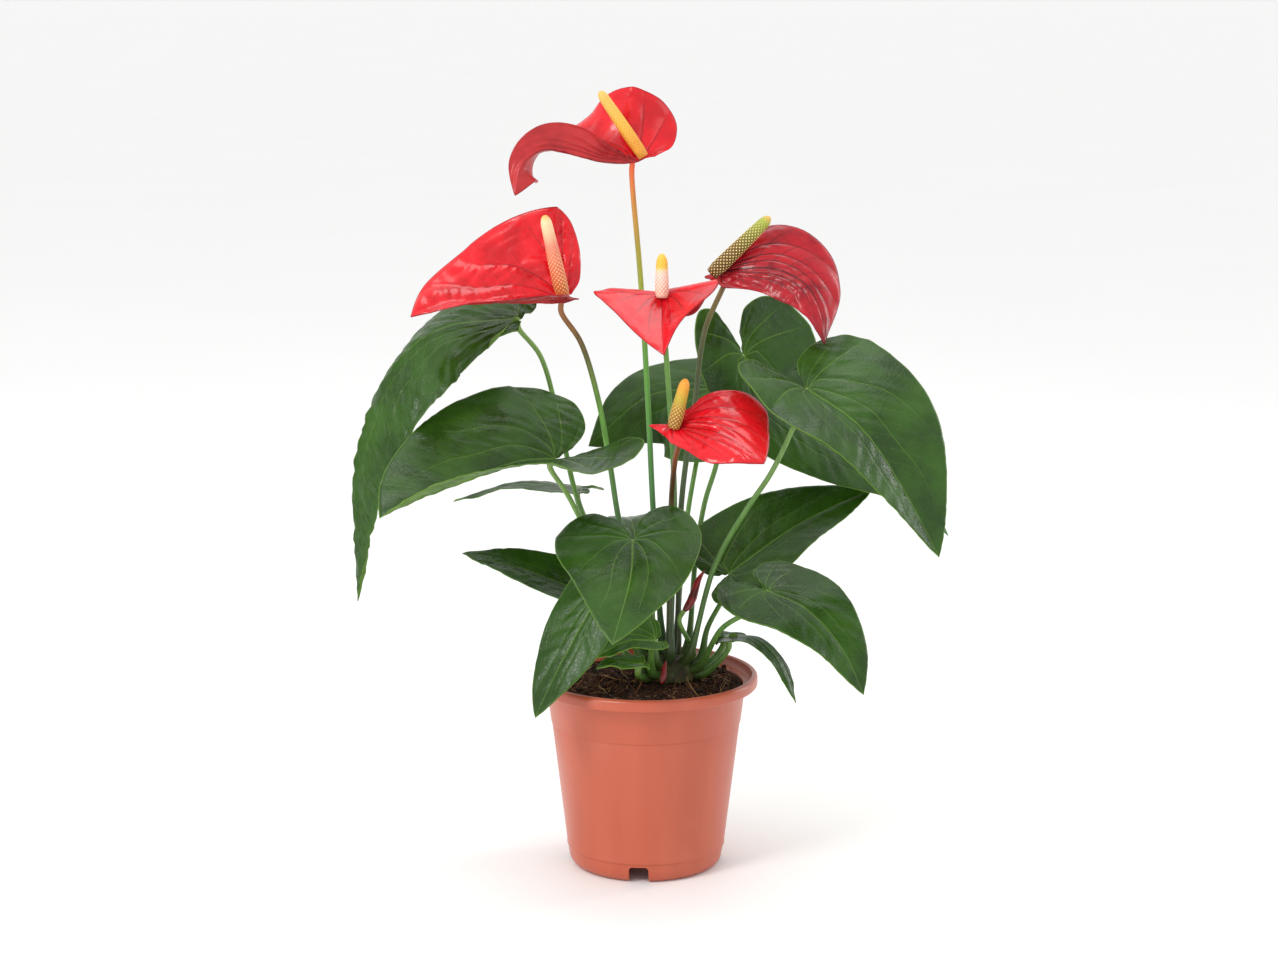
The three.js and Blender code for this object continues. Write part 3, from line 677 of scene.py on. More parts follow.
# Each blade is bent round its midrib: rib runs from root to tip, face and faceTip are the
# ways its upper side looks. fold, curl and lobeBend are angles for its left and right sides.
leafShapes = {
    "leaf_01": dict(
        rib=[(-68, 8, 193), (-108, 6, 188), (-134, -2, 168), (-152, -14, 123), (-151, -26, 48)],
        face=(-0.5, -0.45, 0.85), faceTip=(-1, -0.35, 0.1), width=(41, 36), lobe=(4, 12), fold=(-5, 10),
        foldTip=(-15, -80), curl=(-20, -20), start=(172, 45),
        via=[(-35, 6, 91), (-46, 18, 134), (-56, 14, 172)], outlineLeft=slantOutline,
        outline=leafOutline),
    "leaf_02": dict(
        rib=[(-48, -20, 123), (-64, -32, 124), (-86, -50, 120), (-112, -71, 113), (-133, -89, 106)],
        face=(-0.1, -0.7, 0.7), width=(34, 50), lobe=(42, 26), fold=(30, 15), foldTip=(70, 5),
        curl=(0, -20), lobeBend=(-50, -25), start=(205, 45), via=[(-35, -8, 89), (-42, -14, 104)],
        outlineLeft=leafOutline, outline=spatheOutline),
    "leaf_03": dict(
        rib=[(-37, 34, 98), (-71, 46, 98), (-106, 56, 85)], face=(0, 0.05, 1), width=(15, 18),
        lobe=(10, 12), fold=(-5, -5), curl=(-15, -15), start=(145, 35), via=[(-18, 16, 50)],
        outline=narrowOutline),
    "leaf_04": dict(
        rib=[(-28, 14, 41), (-66, 24, 54), (-100, 32, 61)], face=(0, -0.45, 0.9), width=(17, 18),
        lobe=(12, 12), fold=(15, 10), start=(160, 18), via=[], outline=narrowOutline),
    "leaf_05": dict(
        rib=[(-24, -38, 56), (-37, -47, 34), beyondRim(-131, 17, 6), beyondRim(-131, 27, -7)],
        face=(-0.3, -0.7, 0.6), faceTip=(-0.5, -0.9, 0.1), width=(18, 20), lobe=(12, 12), fold=(0, 0),
        curl=(-10, -10), start=(222, 30), via=[(-10, -18, 32)], outline=narrowOutline),
    "leaf_06": dict(
        rib=[(-7, -38, 83), (-8, -66, 70), (-17, -96, 42)], face=(0, -0.55, 0.83), width=(36, 40),
        lobe=(26, 20), fold=(14, 5), curl=(-10, -10), start=(245, 40), via=[(2, -16, 50)],
        outline=leafOutline),
    "leaf_07": dict(
        rib=[(5, -26, 27), (-11, -37, 29), (-26, -48, 23)], face=(0, -0.5, 0.87), width=(8, 14),
        lobe=(6, 5), fold=(0, 30), young=True, start=(243, 20), via=[], outline=narrowOutline),
    "leaf_08": dict(
        rib=[(45, 3, 57), (82, 18, 80), (125, 34, 97)], face=(-0.2, -0.5, 0.85), width=(34, 24),
        lobe=(12, 18), fold=(20, 5), curl=(-5, -10), start=(10, 30), via=[(33, 1, 27)],
        outline=leafOutline),
    "leaf_09": dict(
        rib=[(64, -32, 55), (83, -48, 49), (100, -64, 33), (111, -78, 12)], face=(0.2, -0.5, 0.86),
        faceTip=(0.5, -0.7, 0.5), width=(28, 28), lobe=(18, 22), fold=(8, 4), curl=(-10, -15),
        start=(335, 25), via=[(40, -21, 32), (54, -29, 43)], outline=leafOutline),
    "leaf_10": dict(
        rib=[(43, -6, 24), (58, -20, 27), beyondRim(-25, 17, 15), beyondRim(-29, 30, -5)],
        face=(0, -0.2, 1), faceTip=(0.7, -0.3, 0.5), width=(8, 8), lobe=(5, 5), fold=(-10, -10),
        curl=(-10, -10), start=(350, 10), via=[], outline=narrowOutline),
    "leaf_11": dict(
        rib=[(83, -36, 162), (108, -52, 146), (128, -68, 119), (147, -82, 84)], face=(0.2, -0.6, 0.75),
        faceTip=(0.5, -0.75, 0.4), width=(50, 32), lobe=(18, 34), fold=(10, 15), curl=(-10, -10),
        start=(325, 48), via=[(36, -12, 63), (53, -22, 97), (65, -28, 117), (76, -33, 142)],
        outline=leafOutline),
    "leaf_12": dict(
        rib=[(53, 34, 169), (63, 31, 146), (98, 32, 120), (139, 30, 98), (164, 24, 73)],
        face=(0.36, -0.75, 0.48), faceTip=(0.7, -0.5, 0.4), width=(44, 28), lobe=(26, 32), fold=(10, 5),
        foldTip=(-10, 5), curl=(-10, -20), start=(38, 50),
        via=[(27, 22, 61), (32, 36, 88), (39, 38, 112), (44, 33, 153)], outline=leafOutline),
    "leaf_13": dict(
        rib=[(36, 70, 146), (2, 82, 140), (-32, 74, 113)], face=(0, -0.8, 0.6), width=(44, 28),
        lobe=(36, 20), fold=(0, -10), curl=(-10, -20), start=(70, 55),
        via=[(20, 30, 60), (25, 50, 92), (32, 64, 124)], outline=leafOutline),
    "leaf_14": dict(
        rib=[(-3, -36, 17), (-15, -42, 19), (-26, -48, 18)], face=(0, -0.3, 0.95), width=(7, 7),
        lobe=(4, 4), fold=(10, 10), young=True, start=(228, 10), via=[], outline=narrowOutline),
    "leaf_15": dict(
        rib=[(42, 8, 20), (50, 12, 20), (58, 16, 16)], face=(0, -0.3, 0.95), width=(6, 6), lobe=(3, 3),
        fold=(0, 0), start=(18, 10), via=[], outline=narrowOutline),
    "leaf_16": dict(
        rib=[(-4, 16, 66), (-8, 40, 78), (-12, 64, 74)], face=(0, -0.3, 0.95), width=(18, 18),
        lobe=(12, 12), fold=(10, 10), curl=(-10, -10), start=(125, 50), via=[], outline=narrowOutline),
}

flowerShapes = {
    "flower_1": dict(
        rib=[(-7, 0, 276), (-24, -4, 277), (-40, -8, 281), (-53, -14, 283), (-63, -20, 276), (-67, -26, 260)],
        face=(0, -0.1, 1), faceTip=(-0.2, 1, 0.1), width=(16, 39), lobe=(3, 24), fold=(50, 60),
        foldTip=(15, 0), curl=(0, 25), curlTip=(0, 0), lift=6, start=(150, 80),
        via=[(4, 4, 88), (1, 4, 150), (-3, 2, 216)], spadix=(-24, -4, 312), spadixRadius=3.2,
        outlineLeft=wingOutline, outline=leafOutline),
    "flower_2": dict(
        rib=[(-44, -14, 205), (-63, -18, 205), (-83, -24, 205), (-103, -32, 205), (-120, -40, 200)],
        face=(0, 0, 1), faceTip=(0, -0.2, 1), width=(20, 50), lobe=(9, 12), fold=(18, 55),
        foldTip=(10, 15), curl=(0, 40), curlTip=(0, 0), lift=2.5, start=(185, 60),
        via=[(-14, 0, 84), (-19, -4, 117), (-25, -8, 152), (-34, -12, 183)], spadix=(-52, -24, 250),
        spadixRadius=3.6, outlineLeft=pointOutline, outline=leafOutline),
    "flower_3": dict(
        rib=[(40, -4, 219), (51, -8, 221), (67, -12, 221), (82, -18, 214), (90, -24, 201), (92, -28, 184)],
        face=(0, -0.8, 0.5), faceTip=(0.3, -0.9, 0.3), width=(30, 16), lobe=(2, 10), fold=(15, 0),
        foldTip=(-45, 0), curl=(-10, -10), lift=2, start=(30, 75),
        via=[(19, 4, 96), (26, 4, 150), (31, 0, 188)], spadix=(64, -10, 248), spadixRadius=3.6,
        outlineLeft=wingOutline, outline=pointOutline),
    "flower_4": dict(
        rib=[(8, -28, 209), (8, -45, 196), (9, -62, 183)], face=(0, -0.4, 0.9), width=(30, 35),
        lobe=(28, 8), fold=(15, 4), foldTip=(50, 4), curl=(0, 0), lobeBend=(170, 60), start=(280, 78),
        via=[(15, -4, 98), (10, -24, 182)], spadix=(8, -30, 231), spadixRadius=3.4,
        outlineLeft=shoulderOutline, outline=cornerOutline),
    "flower_5": dict(
        rib=[(16, -48, 145), (33, -58, 144), (47, -68, 139), (59, -78, 131)], face=(0, -0.75, 0.65),
        width=(35, 18), lobe=(2, 16), fold=(10, 0), foldTip=(-40, 0), curl=(-10, -10), start=(272, 62),
        via=[(13, -8, 88), (15, -34, 125)], spadix=(20, -54, 170), spadixRadius=3.4,
        outlineLeft=wingOutline, outline=pointOutline),
}


def lerp(first, second, share):
    return first + (second - first) * share


bendSteps = 6   # straight steps taken out along a curled half


def bladeSurface(shape):
    # the blade as a function that lays plan points on it, and its length along the midrib
    places, walked = smoothCurve([above(p) for p in shape["rib"]])
    tangents = unit(np.gradient(places, walked, axis=0))
    length = walked[-1]
    face = unit(np.array(shape["face"], float))
    faceTip = unit(np.array(shape.get("faceTip", shape["face"]), float))
    fold = shape["fold"]
    foldTip = shape.get("foldTip", fold)
    curl = shape.get("curl", (0, 0))
    curlTip = shape.get("curlTip", curl)
    width, lobe = np.array(shape["width"], float), np.array(shape["lobe"], float)
    lobeBend = np.radians(np.array(shape.get("lobeBend", (0, 0)), float))

    def frameAt(y):
        share = np.clip(y / length, 0, 1)
        point = placeAt(places, walked, share * length)
        tangent = unit(placeAt(tangents, walked, share * length))
        normal = lerp(face, faceTip, share[..., None])
        normal = unit(normal - tangent * np.sum(normal * tangent, -1, keepdims=True))
        return point, tangent, normal, share

    def at(x, y):
        point, tangent, normal, share = frameAt(y)
        across = np.cross(tangent, normal)
        side = (x > 0).astype(int)
        behind = np.maximum(-y, 0)
        bend = np.maximum(np.abs(lobeBend)[side] * behind / lobe[side], 1e-6)
        point = point - tangent * (behind * np.sin(bend) / bend)[..., None]
        point = point - normal * (np.sign(lobeBend)[side] * behind * (1 - np.cos(bend)) / bend)[..., None]
        folds = [lerp(fold[i], foldTip[i], share) for i in (0, 1)]
        curls = [lerp(curl[i], curlTip[i], share) for i in (0, 1)]
        start = np.radians(np.where(side, folds[1], folds[0]))
        turn = np.radians(np.where(side, curls[1], curls[0]))
        turn = turn / width[side]
        out, up = np.zeros_like(x), np.zeros_like(x)
        for i in range(bendSteps):
            angle = start + turn * np.abs(x) * (i + 0.5) / bendSteps
            out += np.cos(angle) * np.abs(x) / bendSteps
            up += np.sin(angle) * np.abs(x) / bendSteps
        return point + across * (np.sign(x) * out)[..., None] + normal * up[..., None], normal

    return at, length


def bladeRoot(shape):
    # where a stalk meets its blade, and the way the upper side looks there
    at = bladeSurface(shape)[0]
    points, normals = at(np.zeros(1), np.zeros(1))
    return points[0], normals[0]


# Veins, in the blade's own fan: spoke is 0 at the tip and 1 at the inner end of a lobe,
# and ring runs from 0 at the stalk to 1 at the margin.
swayPitch = 0.16
farSway = 1.3   # sets the far half's sway off from the near half's
planUnit = 100.0   # millimetres in one unit of the plan map
leafVeins = dict(
    ends=(0.1, 0.27, 0.46, 0.66, 0.82), bend=0.24, wobble=0.008, slope=0.85, spacing=9.5,
    midWidth=1.0, sideWidth=0.55, crossWidth=0.3, crossStrength=0.35)
spatheVeins = dict(
    ends=(0.09, 0.22, 0.37, 0.53, 0.7, 0.84), bend=0.2, wobble=0.012, slope=0.5, spacing=8.0,
    midWidth=0.8, sideWidth=0.75, crossWidth=0.5, crossStrength=0.6)


def straightened(fan, veins):
    # the fan coordinate in which every basal vein keeps one value
    sway = veins["wobble"] * np.sin(fan["y"] * swayPitch + np.where(fan["spoke"] > 0, farSway, 0.0))
    return np.abs(fan["spoke"]) - veins["bend"] * (1 - fan["ring"]) ** 2 + sway


def veinDistances(fan, veins):
    # how far each place is from the midrib, a basal vein and a cross vein
    basal = np.min([np.abs(straightened(fan, veins) - end) for end in veins["ends"]], axis=0) * fan["spread"]
    run = (fan["y"] - veins["slope"] * np.abs(fan["x"])) / veins["spacing"]
    cross = np.abs(run - np.round(run)) * veins["spacing"] / math.hypot(1, veins["slope"])
    return np.abs(fan["x"]), basal, np.where(run > 0.3, cross, veins["spacing"] / 2)


def groove(distance, width):
    return np.exp(-(distance / width) ** 2)


def veinMask(tree, veins):
    # the same veins for a shader: 1 on a vein, 0 between veins
    spoke, ring = mapPair(tree, "fan")
    planX, planY = mapPair(tree, "plan")
    planX = maths(tree, "MULTIPLY", planX, planUnit)
    planY = maths(tree, "MULTIPLY", planY, planUnit)
    side = maths(tree, "MULTIPLY", maths(tree, "GREATER_THAN", spoke, 0.0), farSway)
    sway = maths(tree, "SINE", maths(tree, "MULTIPLY_ADD", planY, swayPitch, side))
    back = maths(tree, "POWER", maths(tree, "SUBTRACT", 1.0, ring), 2.0)
    straight = maths(tree, "MULTIPLY_ADD", back, -veins["bend"], maths(tree, "ABSOLUTE", spoke))
    straight = maths(tree, "MULTIPLY_ADD", sway, veins["wobble"], straight)
    nearest = None
    for end in veins["ends"]:
        apart = maths(tree, "ABSOLUTE", maths(tree, "SUBTRACT", straight, end))
        nearest = apart if nearest is None else maths(tree, "MINIMUM", nearest, apart)
    basal = maths(tree, "MULTIPLY", nearest, carried(tree, "spread"))
    fade = ranged(tree, ring, 0.55, 0.98, 1.0, 0.1)
    basal = maths(tree, "MULTIPLY", ranged(tree, basal, veins["sideWidth"], 0.0), fade)
    acrossX = maths(tree, "ABSOLUTE", planX)
    taper = maths(tree, "MULTIPLY_ADD", ring, -0.75 * veins["midWidth"], veins["midWidth"])
    mid = ranged(tree, maths(tree, "DIVIDE", acrossX, taper), 1.0, 0.1)
    run = maths(tree, "MULTIPLY_ADD", acrossX, -veins["slope"], planY)
    cross = maths(tree, "PINGPONG", maths(tree, "DIVIDE", run, veins["spacing"]), 0.5)
    cross = ranged(tree, maths(tree, "MULTIPLY", cross, veins["spacing"]), veins["crossWidth"], 0.0)
    cross = maths(tree, "MULTIPLY", cross, ranged(tree, run, 2.0, 6.0))
    cross = maths(tree, "MULTIPLY", cross, maths(tree, "MULTIPLY", fade, veins["crossStrength"]))
    return maths(tree, "MAXIMUM", maths(tree, "MAXIMUM", mid, basal), cross)


fanStep = 0.01   # how far along the margin the next spoke is looked for


def bladeGrid(bm, shape, detail):
    # a fan of spokes and rings, one unit square to start with, laid onto the blade's plan
    outline = shape.get("outline", spatheOutline)
    edges = [smoothCurve(shape.get("outlineLeft", outline)), smoothCurve(outline)]
    at, length = bladeSurface(shape)
    width = np.array(shape["width"])
    size = length + max(width)
    spokes = int(np.clip(size * detail, 36, 124))
    rings = int(np.clip(size * detail * 0.5, 18, 62))
    bmesh.ops.create_grid(bm, x_segments=2 * spokes, y_segments=rings, size=1)
    bm.verts.ensure_lookup_table()
    grid = np.array([v.co[:] for v in bm.verts])
    spoke, ring = grid[:, 0], (grid[:, 1] + 1) / 2
    side = (spoke > 0).astype(int)

    def outlineAt(share):
        halves = [placeAt(edge, walked, (1 - share) * walked[-1]) for edge, walked in edges]
        return np.where(side[:, None], halves[1], halves[0])

    rim = outlineAt(np.abs(spoke))
    long = np.where(rim[:, 1] < 0, np.array(shape["lobe"])[side], length)
    flatX = np.sign(spoke) * np.abs(rim[:, 0]) * width[side]
    flatY = rim[:, 1] * long
    aheadRim = outlineAt(np.minimum(np.abs(spoke) + fanStep, 1))
    stepX = (np.abs(aheadRim[:, 0]) - np.abs(rim[:, 0])) * width[side]
    stepY = (aheadRim[:, 1] - rim[:, 1]) * long
    spread = ring * np.hypot(stepX, stepY) / fanStep
    planX, planY = flatX * ring, flatY * ring
    inward = (1 - ring) * np.hypot(flatX, flatY)
    points, normal = at(planX, planY)
    return dict(spoke=spoke, ring=ring, x=planX, y=planY, spread=spread, edge=inward,
                points=points, normal=normal)


def leafRelief(fan, look, seed):
    ring = fan["ring"]
    mid, basal, cross = veinDistances(fan, leafVeins)
    fade = 1 - 0.6 * ring
    height = -look["midDepth"] * groove(mid, 1.5) * fade
    height -= look["sideDepth"] * groove(basal, 1.5) * fade * np.minimum(ring * 6, 1)
    height -= look["crossDepth"] * groove(cross, 1.6) * np.minimum(ring * 3, 1)
    crinkle = np.array([noise.noise(Vector((x * 0.11, (y - abs(x)) * 0.2, seed * 3.1)))
                        for x, y in zip(fan["x"], fan["y"])])
    height += look["crinkle"] * crinkle * np.minimum(ring * 2, 1)
    wave = np.array([noise.noise(Vector((s * look["waves"], seed * 7.7, 0.5))) for s in fan["spoke"]])
    return height + look["wave"] * wave * ring ** 3


def spatheRelief(fan, look, seed):
    ring = fan["ring"]
    mid = np.abs(fan["x"])
    straight = straightened(fan, spatheVeins)
    stops = np.array((-0.3, 0.0) + spatheVeins["ends"] + (1.1,))
    band = np.interp(straight, stops, np.arange(len(stops)))
    inBand = np.abs(np.sin(math.pi * band))
    reach = np.hypot(fan["x"], fan["y"])
    drift = np.array([noise.noise(Vector((x * 0.07, y * 0.07, seed))) for x, y in zip(fan["x"], fan["y"])])
    along = reach / look["cell"] + 0.37 * np.floor(band) + 0.9 * drift + 0.5 * np.sign(fan["spoke"])
    inCell = np.abs(np.sin(math.pi * along))
    patch = 0.55 + 0.9 * np.clip(drift + 0.2, 0, 1)
    puff = look["puff"] * inBand ** 0.6 * (0.35 + 0.65 * inCell ** 0.6) * patch
    height = puff * np.minimum(ring * 2.2, 1) * np.clip(fan["edge"] / 3, 0, 1)
    height -= look["midDepth"] * groove(mid, 1.6) * (1 - 0.5 * ring)
    wave = np.array([noise.noise(Vector((s * look["waves"], seed * 5.3, 0.5))) for s in fan["spoke"]])
    return height + look["wave"] * wave * ring ** 3


def makeBlade(name, shape, look, relief, seed, materials, node):
    bm = bmesh.new()
    fan = bladeGrid(bm, shape, look["detail"])
    for vert, place in zip(bm.verts, fan["points"]):
        vert.co = place
    bm.normal_update()
    bm.verts.ensure_lookup_table()
    middle = int(np.argmin(np.abs(fan["ring"] - 0.5) + np.abs(fan["spoke"])))
    if bm.verts[middle].normal.dot(Vector(fan["normal"][middle])) < 0:
        bmesh.ops.reverse_faces(bm, faces=bm.faces)
        bm.normal_update()
    height = relief(fan, look, seed) + look["above"]
    spreadLayer = bm.verts.layers.float.new("spread")
    edgeLayer = bm.verts.layers.float.new("edge")
    thick = bm.verts.layers.deform.verify()
    fanMap = bm.loops.layers.uv.new("fan")
    planMap = bm.loops.layers.uv.new("plan")
    ridge = groove(np.abs(fan["x"]), 1.6) * (1 - fan["ring"]) * np.minimum(1, 0.35 + fan["ring"] * 12)
    placed = [vert.co + vert.normal * h for vert, h in zip(bm.verts, height)]
    for i, vert in enumerate(bm.verts):
        vert.co = placed[i]
        vert[spreadLayer] = fan["spread"][i]
        vert[edgeLayer] = fan["edge"][i]
        vert[thick][0] = float(ridge[i])
    for face in bm.faces:
        for loop in face.loops:
            i = loop.vert.index
            loop[fanMap].uv = (fan["spoke"][i], fan["ring"][i])
            loop[planMap].uv = (fan["x"][i] / planUnit, fan["y"][i] / planUnit)
    root = [bm.verts[i] for i in np.flatnonzero(fan["ring"] < 1e-5)]
    centre = sum((v.co for v in root), Vector()) / len(root)
    for vert in root:
        vert.co = centre
    bmesh.ops.remove_doubles(bm, verts=root, dist=1e-3)
    placeShape(bm)
    piece = finishPiece(name, bm, materials, [node])
    piece.vertex_groups.new(name="thick")
    solid = piece.modifiers.new("solid", "SOLIDIFY")
    solid.thickness = look["ridge"] * mm
    solid.offset = -1
    solid.vertex_group = "thick"
    solid.thickness_vertex_group = look["thin"] / look["ridge"]
    solid.material_offset = 1
    solid.use_quality_normals = True
    return piece


leafTones = {
    "leafUpper": dict(
        deep=tone(30, 58, 8), mid=tone(46, 84, 12), vein=tone(94, 130, 42), rough=0.3, coat=0.06),
    "youngUpper": dict(
        deep=tone(46, 84, 16), mid=tone(68, 112, 24), vein=tone(116, 152, 56), rough=0.34, coat=0.06),
    "leafUnder": dict(
        deep=tone(72, 108, 40), mid=tone(104, 142, 56), vein=tone(146, 174, 92), rough=0.5, coat=0.0),
    "youngUnder": dict(
        deep=tone(98, 142, 54), mid=tone(134, 172, 72), vein=tone(168, 196, 108), rough=0.5, coat=0.0),
}


def leafMaterial(name, tones, veinShare):
    material, tree, shader = newMaterial(name, tones["rough"], tones["coat"], 0.22, 0.28)
    place = objectPlace(tree)
    cloud = speckled(tree, place, 38, 4, 0.6)
    mottle = speckled(tree, place, 420, 3)
    colour = mixed(tree, ranged(tree, cloud, 0.3, 0.7), tones["deep"], tones["mid"])
    colour = mixed(tree, ranged(tree, mottle, 0.5, 0.72, 0, 0.22), colour, tones["mid"])
    veins = maths(tree, "MULTIPLY", veinMask(tree, leafVeins), veinShare)
    colour = mixed(tree, veins, colour, tones["vein"])
    margin = ranged(tree, carried(tree, "edge"), 0.9, 0.1, 0, 0.75)
    colour = mixed(tree, margin, colour, tones["vein"])
    plug(tree, shader.inputs["Base Color"], colour)
    rough = ranged(tree, cloud, 0.3, 0.7, tones["rough"] - 0.06, tones["rough"] + 0.1)
    plug(tree, shader.inputs["Roughness"], rough)
    cells = addNode(tree, "ShaderNodeTexVoronoi", feature="DISTANCE_TO_EDGE")
    plug(tree, cells.inputs["Vector"], place)
    cells.inputs["Scale"].default_value = 420
    net = ranged(tree, cells.outputs["Distance"], 0.0, 0.12)
    plug(tree, shader.inputs["Normal"], bumped(tree, maths(tree, "ADD", net, mottle), 0.18, 0.0004))
    return material


spatheTones = {
    "spatheUpper": dict(
        deep=tone(188, 4, 20), mid=tone(216, 8, 26), vein=tone(104, 4, 14), rough=0.26, coat=0.3),
    "spatheDark": dict(
        deep=tone(128, 5, 20), mid=tone(170, 10, 28), vein=tone(52, 4, 12), rough=0.3, coat=0.2),
    "spatheUnder": dict(
        deep=tone(150, 24, 32), mid=tone(184, 44, 46), vein=tone(112, 18, 26), rough=0.42, coat=0.1),
}


def spatheMaterial(name, tones, veinShare):
    material, tree, shader = newMaterial(name, tones["rough"], tones["coat"], 0.1, 0.28)
    place = objectPlace(tree)
    cloud = speckled(tree, place, 60, 4, 0.6)
    colour = mixed(tree, ranged(tree, cloud, 0.32, 0.6), tones["deep"], tones["mid"])
    veins = maths(tree, "MULTIPLY", veinMask(tree, spatheVeins), veinShare)
    colour = mixed(tree, veins, colour, tones["vein"])
    margin = ranged(tree, carried(tree, "edge"), 0.8, 0.1, 0, 0.5)
    colour = mixed(tree, margin, colour, tones["vein"])
    plug(tree, shader.inputs["Base Color"], colour)
    rough = ranged(tree, cloud, 0.3, 0.7, tones["rough"] - 0.05, tones["rough"] + 0.1)
    plug(tree, shader.inputs["Roughness"], rough)
    fine = speckled(tree, place, 520, 3)
    plug(tree, shader.inputs["Normal"], bumped(tree, fine, 0.2, 0.0005))
    return material


# ridge and thin are a blade's thickness at its midrib and away from it, and above is how
# far its upper skin stands off the blade's middle surface
leafLook = dict(
    detail=0.62, midDepth=0.45, sideDepth=0.35, crossDepth=0.22, crinkle=0.5, wave=2.0, waves=7.0,
    ridge=2.2, thin=0.5, above=0.25)
leafExtras = {
    "leaf_01": dict(crinkle=1.5, wave=3.0, crossDepth=0.45),
    "leaf_02": dict(crinkle=0.7),
}
spatheLook = dict(
    detail=0.8, midDepth=0.5, puff=1.2, cell=8.5, wave=1.6, waves=6.0, ridge=1.8, thin=0.6, above=0.3)
spatheExtras = {
    "flower_1": dict(puff=0.7, cell=11.0),
    "flower_2": dict(puff=1.8, cell=7.0),
    "flower_4": dict(puff=0.35, midDepth=0.25),
    "flower_5": dict(puff=0.8),
}


def makeLeaves():
    upper = leafMaterial("leafUpper", leafTones["leafUpper"], 0.6)
    under = leafMaterial("leafUnder", leafTones["leafUnder"], 0.6)
    youngUpper = leafMaterial("youngUpper", leafTones["youngUpper"], 0.7)
    youngUnder = leafMaterial("youngUnder", leafTones["youngUnder"], 0.6)
    for seed, (name, shape) in enumerate(leafShapes.items()):
        look = {**leafLook, **leafExtras.get(name, {})}
        young = shape.get("young", False)
        materials = [youngUpper, youngUnder] if young else [upper, under]
        makeBlade(name + "_leaf", shape, look, leafRelief, seed + 1, materials, name + "_blade")


firstSpatheSeed = 31


def makeSpathes():
    upper = spatheMaterial("spatheUpper", spatheTones["spatheUpper"], 0.62)
    dark = spatheMaterial("spatheDark", spatheTones["spatheDark"], 1.0)
    under = spatheMaterial("spatheUnder", spatheTones["spatheUnder"], 0.4)
    for seed, (name, shape) in enumerate(flowerShapes.items()):
        look = {**spatheLook, **spatheExtras.get(name, {})}
        skins = [dark if name == "flower_3" else upper, under]
        makeBlade(name + "_bract", shape, look, spatheRelief, seed + firstSpatheSeed, skins,
                  name + "_spathe")


makeLeaves()
print("leaves: sixteen blades")
makeSpathes()
print("flowers: five spathes")


# Stalks

stalk = dict(
    leafRadius=1.5, flowerRadius=1.6, neck=5, gap=0.3, segments=14, step=2.2, sheath=14,
    crownRadius=15, crownHeight=13, sunk=1.5, clear=5, leafThickness=0.8, spatheThickness=1.0,
    taper=0.12, sheathSwell=0.9, jointLength=4, leafJoint=0.22, flowerJoint=0.05)
crownMiddle = (crownLow + crownHigh) / 2
crownCentre = np.array([crownMiddle.x / mm, crownMiddle.y / mm, crownLow.z / mm])
crownCentre[:2] -= potCentre[:2] / mm


def crownPoint(azimuth, rise, clear):
    a, r = math.radians(azimuth), math.radians(rise)
    out = np.array([math.cos(a) * math.cos(r), math.sin(a) * math.cos(r), math.sin(r)])
    size = np.array([stalk["crownRadius"] + clear] * 2 + [stalk["crownHeight"] + clear])
    return crownCentre + out * size


def stalkPath(shape, thickness, radius):
    point, normal = bladeRoot(shape)
    droop = max(0, -min(shape["fold"]), max(shape.get("lobeBend", (0, 0))) / 6)
    under = thickness / 2 + 1.5 * stalk["gap"] + radius * math.tan(math.radians(droop))
    neck = point - normal * (under + stalk["neck"])
    end = point - normal * under
    azimuth, rise = shape["start"]
    route = [crownPoint(azimuth, rise, -stalk["sunk"]), crownPoint(azimuth, rise, stalk["clear"])]
    route += [above(p) for p in shape["via"]] + [neck, end]
    places, walked = smoothCurve(route)
    places = np.vstack([places, point - normal * 0.2])
    walked = np.append(walked, walked[-1] + under - 0.2)
    count = max(10, int(walked[-1] / stalk["step"]))
    lastStations = np.linspace(walked[-1] - 7, walked[-1], 8)
    stations = np.concatenate([np.linspace(0, walked[-1] - 8, count), lastStations])
    return placeAt(places, walked, stations), stations


def stalkMaterial(name, stops):
    material, tree, shader = newMaterial(name, 0.4, coat=0.1, coatRoughness=0.25)
    place = objectPlace(tree)
    colour = ramped(tree, carried(tree, "along"), stops)
    streak = speckled(tree, stretched(tree, place, (420, 420, 30)), 1.0, 4)
    shadeOf = mixed(tree, 1.0, colour, (0.55, 0.6, 0.5, 1), "MULTIPLY")
    colour = mixed(tree, ranged(tree, streak, 0.45, 0.75, 0, 0.7), colour, shadeOf)
    plug(tree, shader.inputs["Base Color"], colour)
    plug(tree, shader.inputs["Normal"], bumped(tree, streak, 0.25, 0.0004))
    return material


def makeStalk(name, shape, thickness, radius, joint, material, node):
    places, stations = stalkPath(shape, thickness, radius)
    whole = stations[-1]
    fromTop = whole - stations
    radii = radius * (1.0 - stalk["taper"] * stations / whole)
    radii += radius * stalk["sheathSwell"] * np.exp(-(stations / stalk["sheath"]) ** 2)
    radii += radius * joint * np.exp(-((fromTop - stalk["jointLength"]) / stalk["jointLength"]) ** 2)
    bm = bmesh.new()
    along = bm.verts.layers.float.new("along")
    sweptTube(bm, places, radii, stalk["segments"], along, stations / whole)
    bmesh.ops.recalc_face_normals(bm, faces=bm.faces)
    placeShape(bm)
    finishPiece(name, bm, [material], [node])


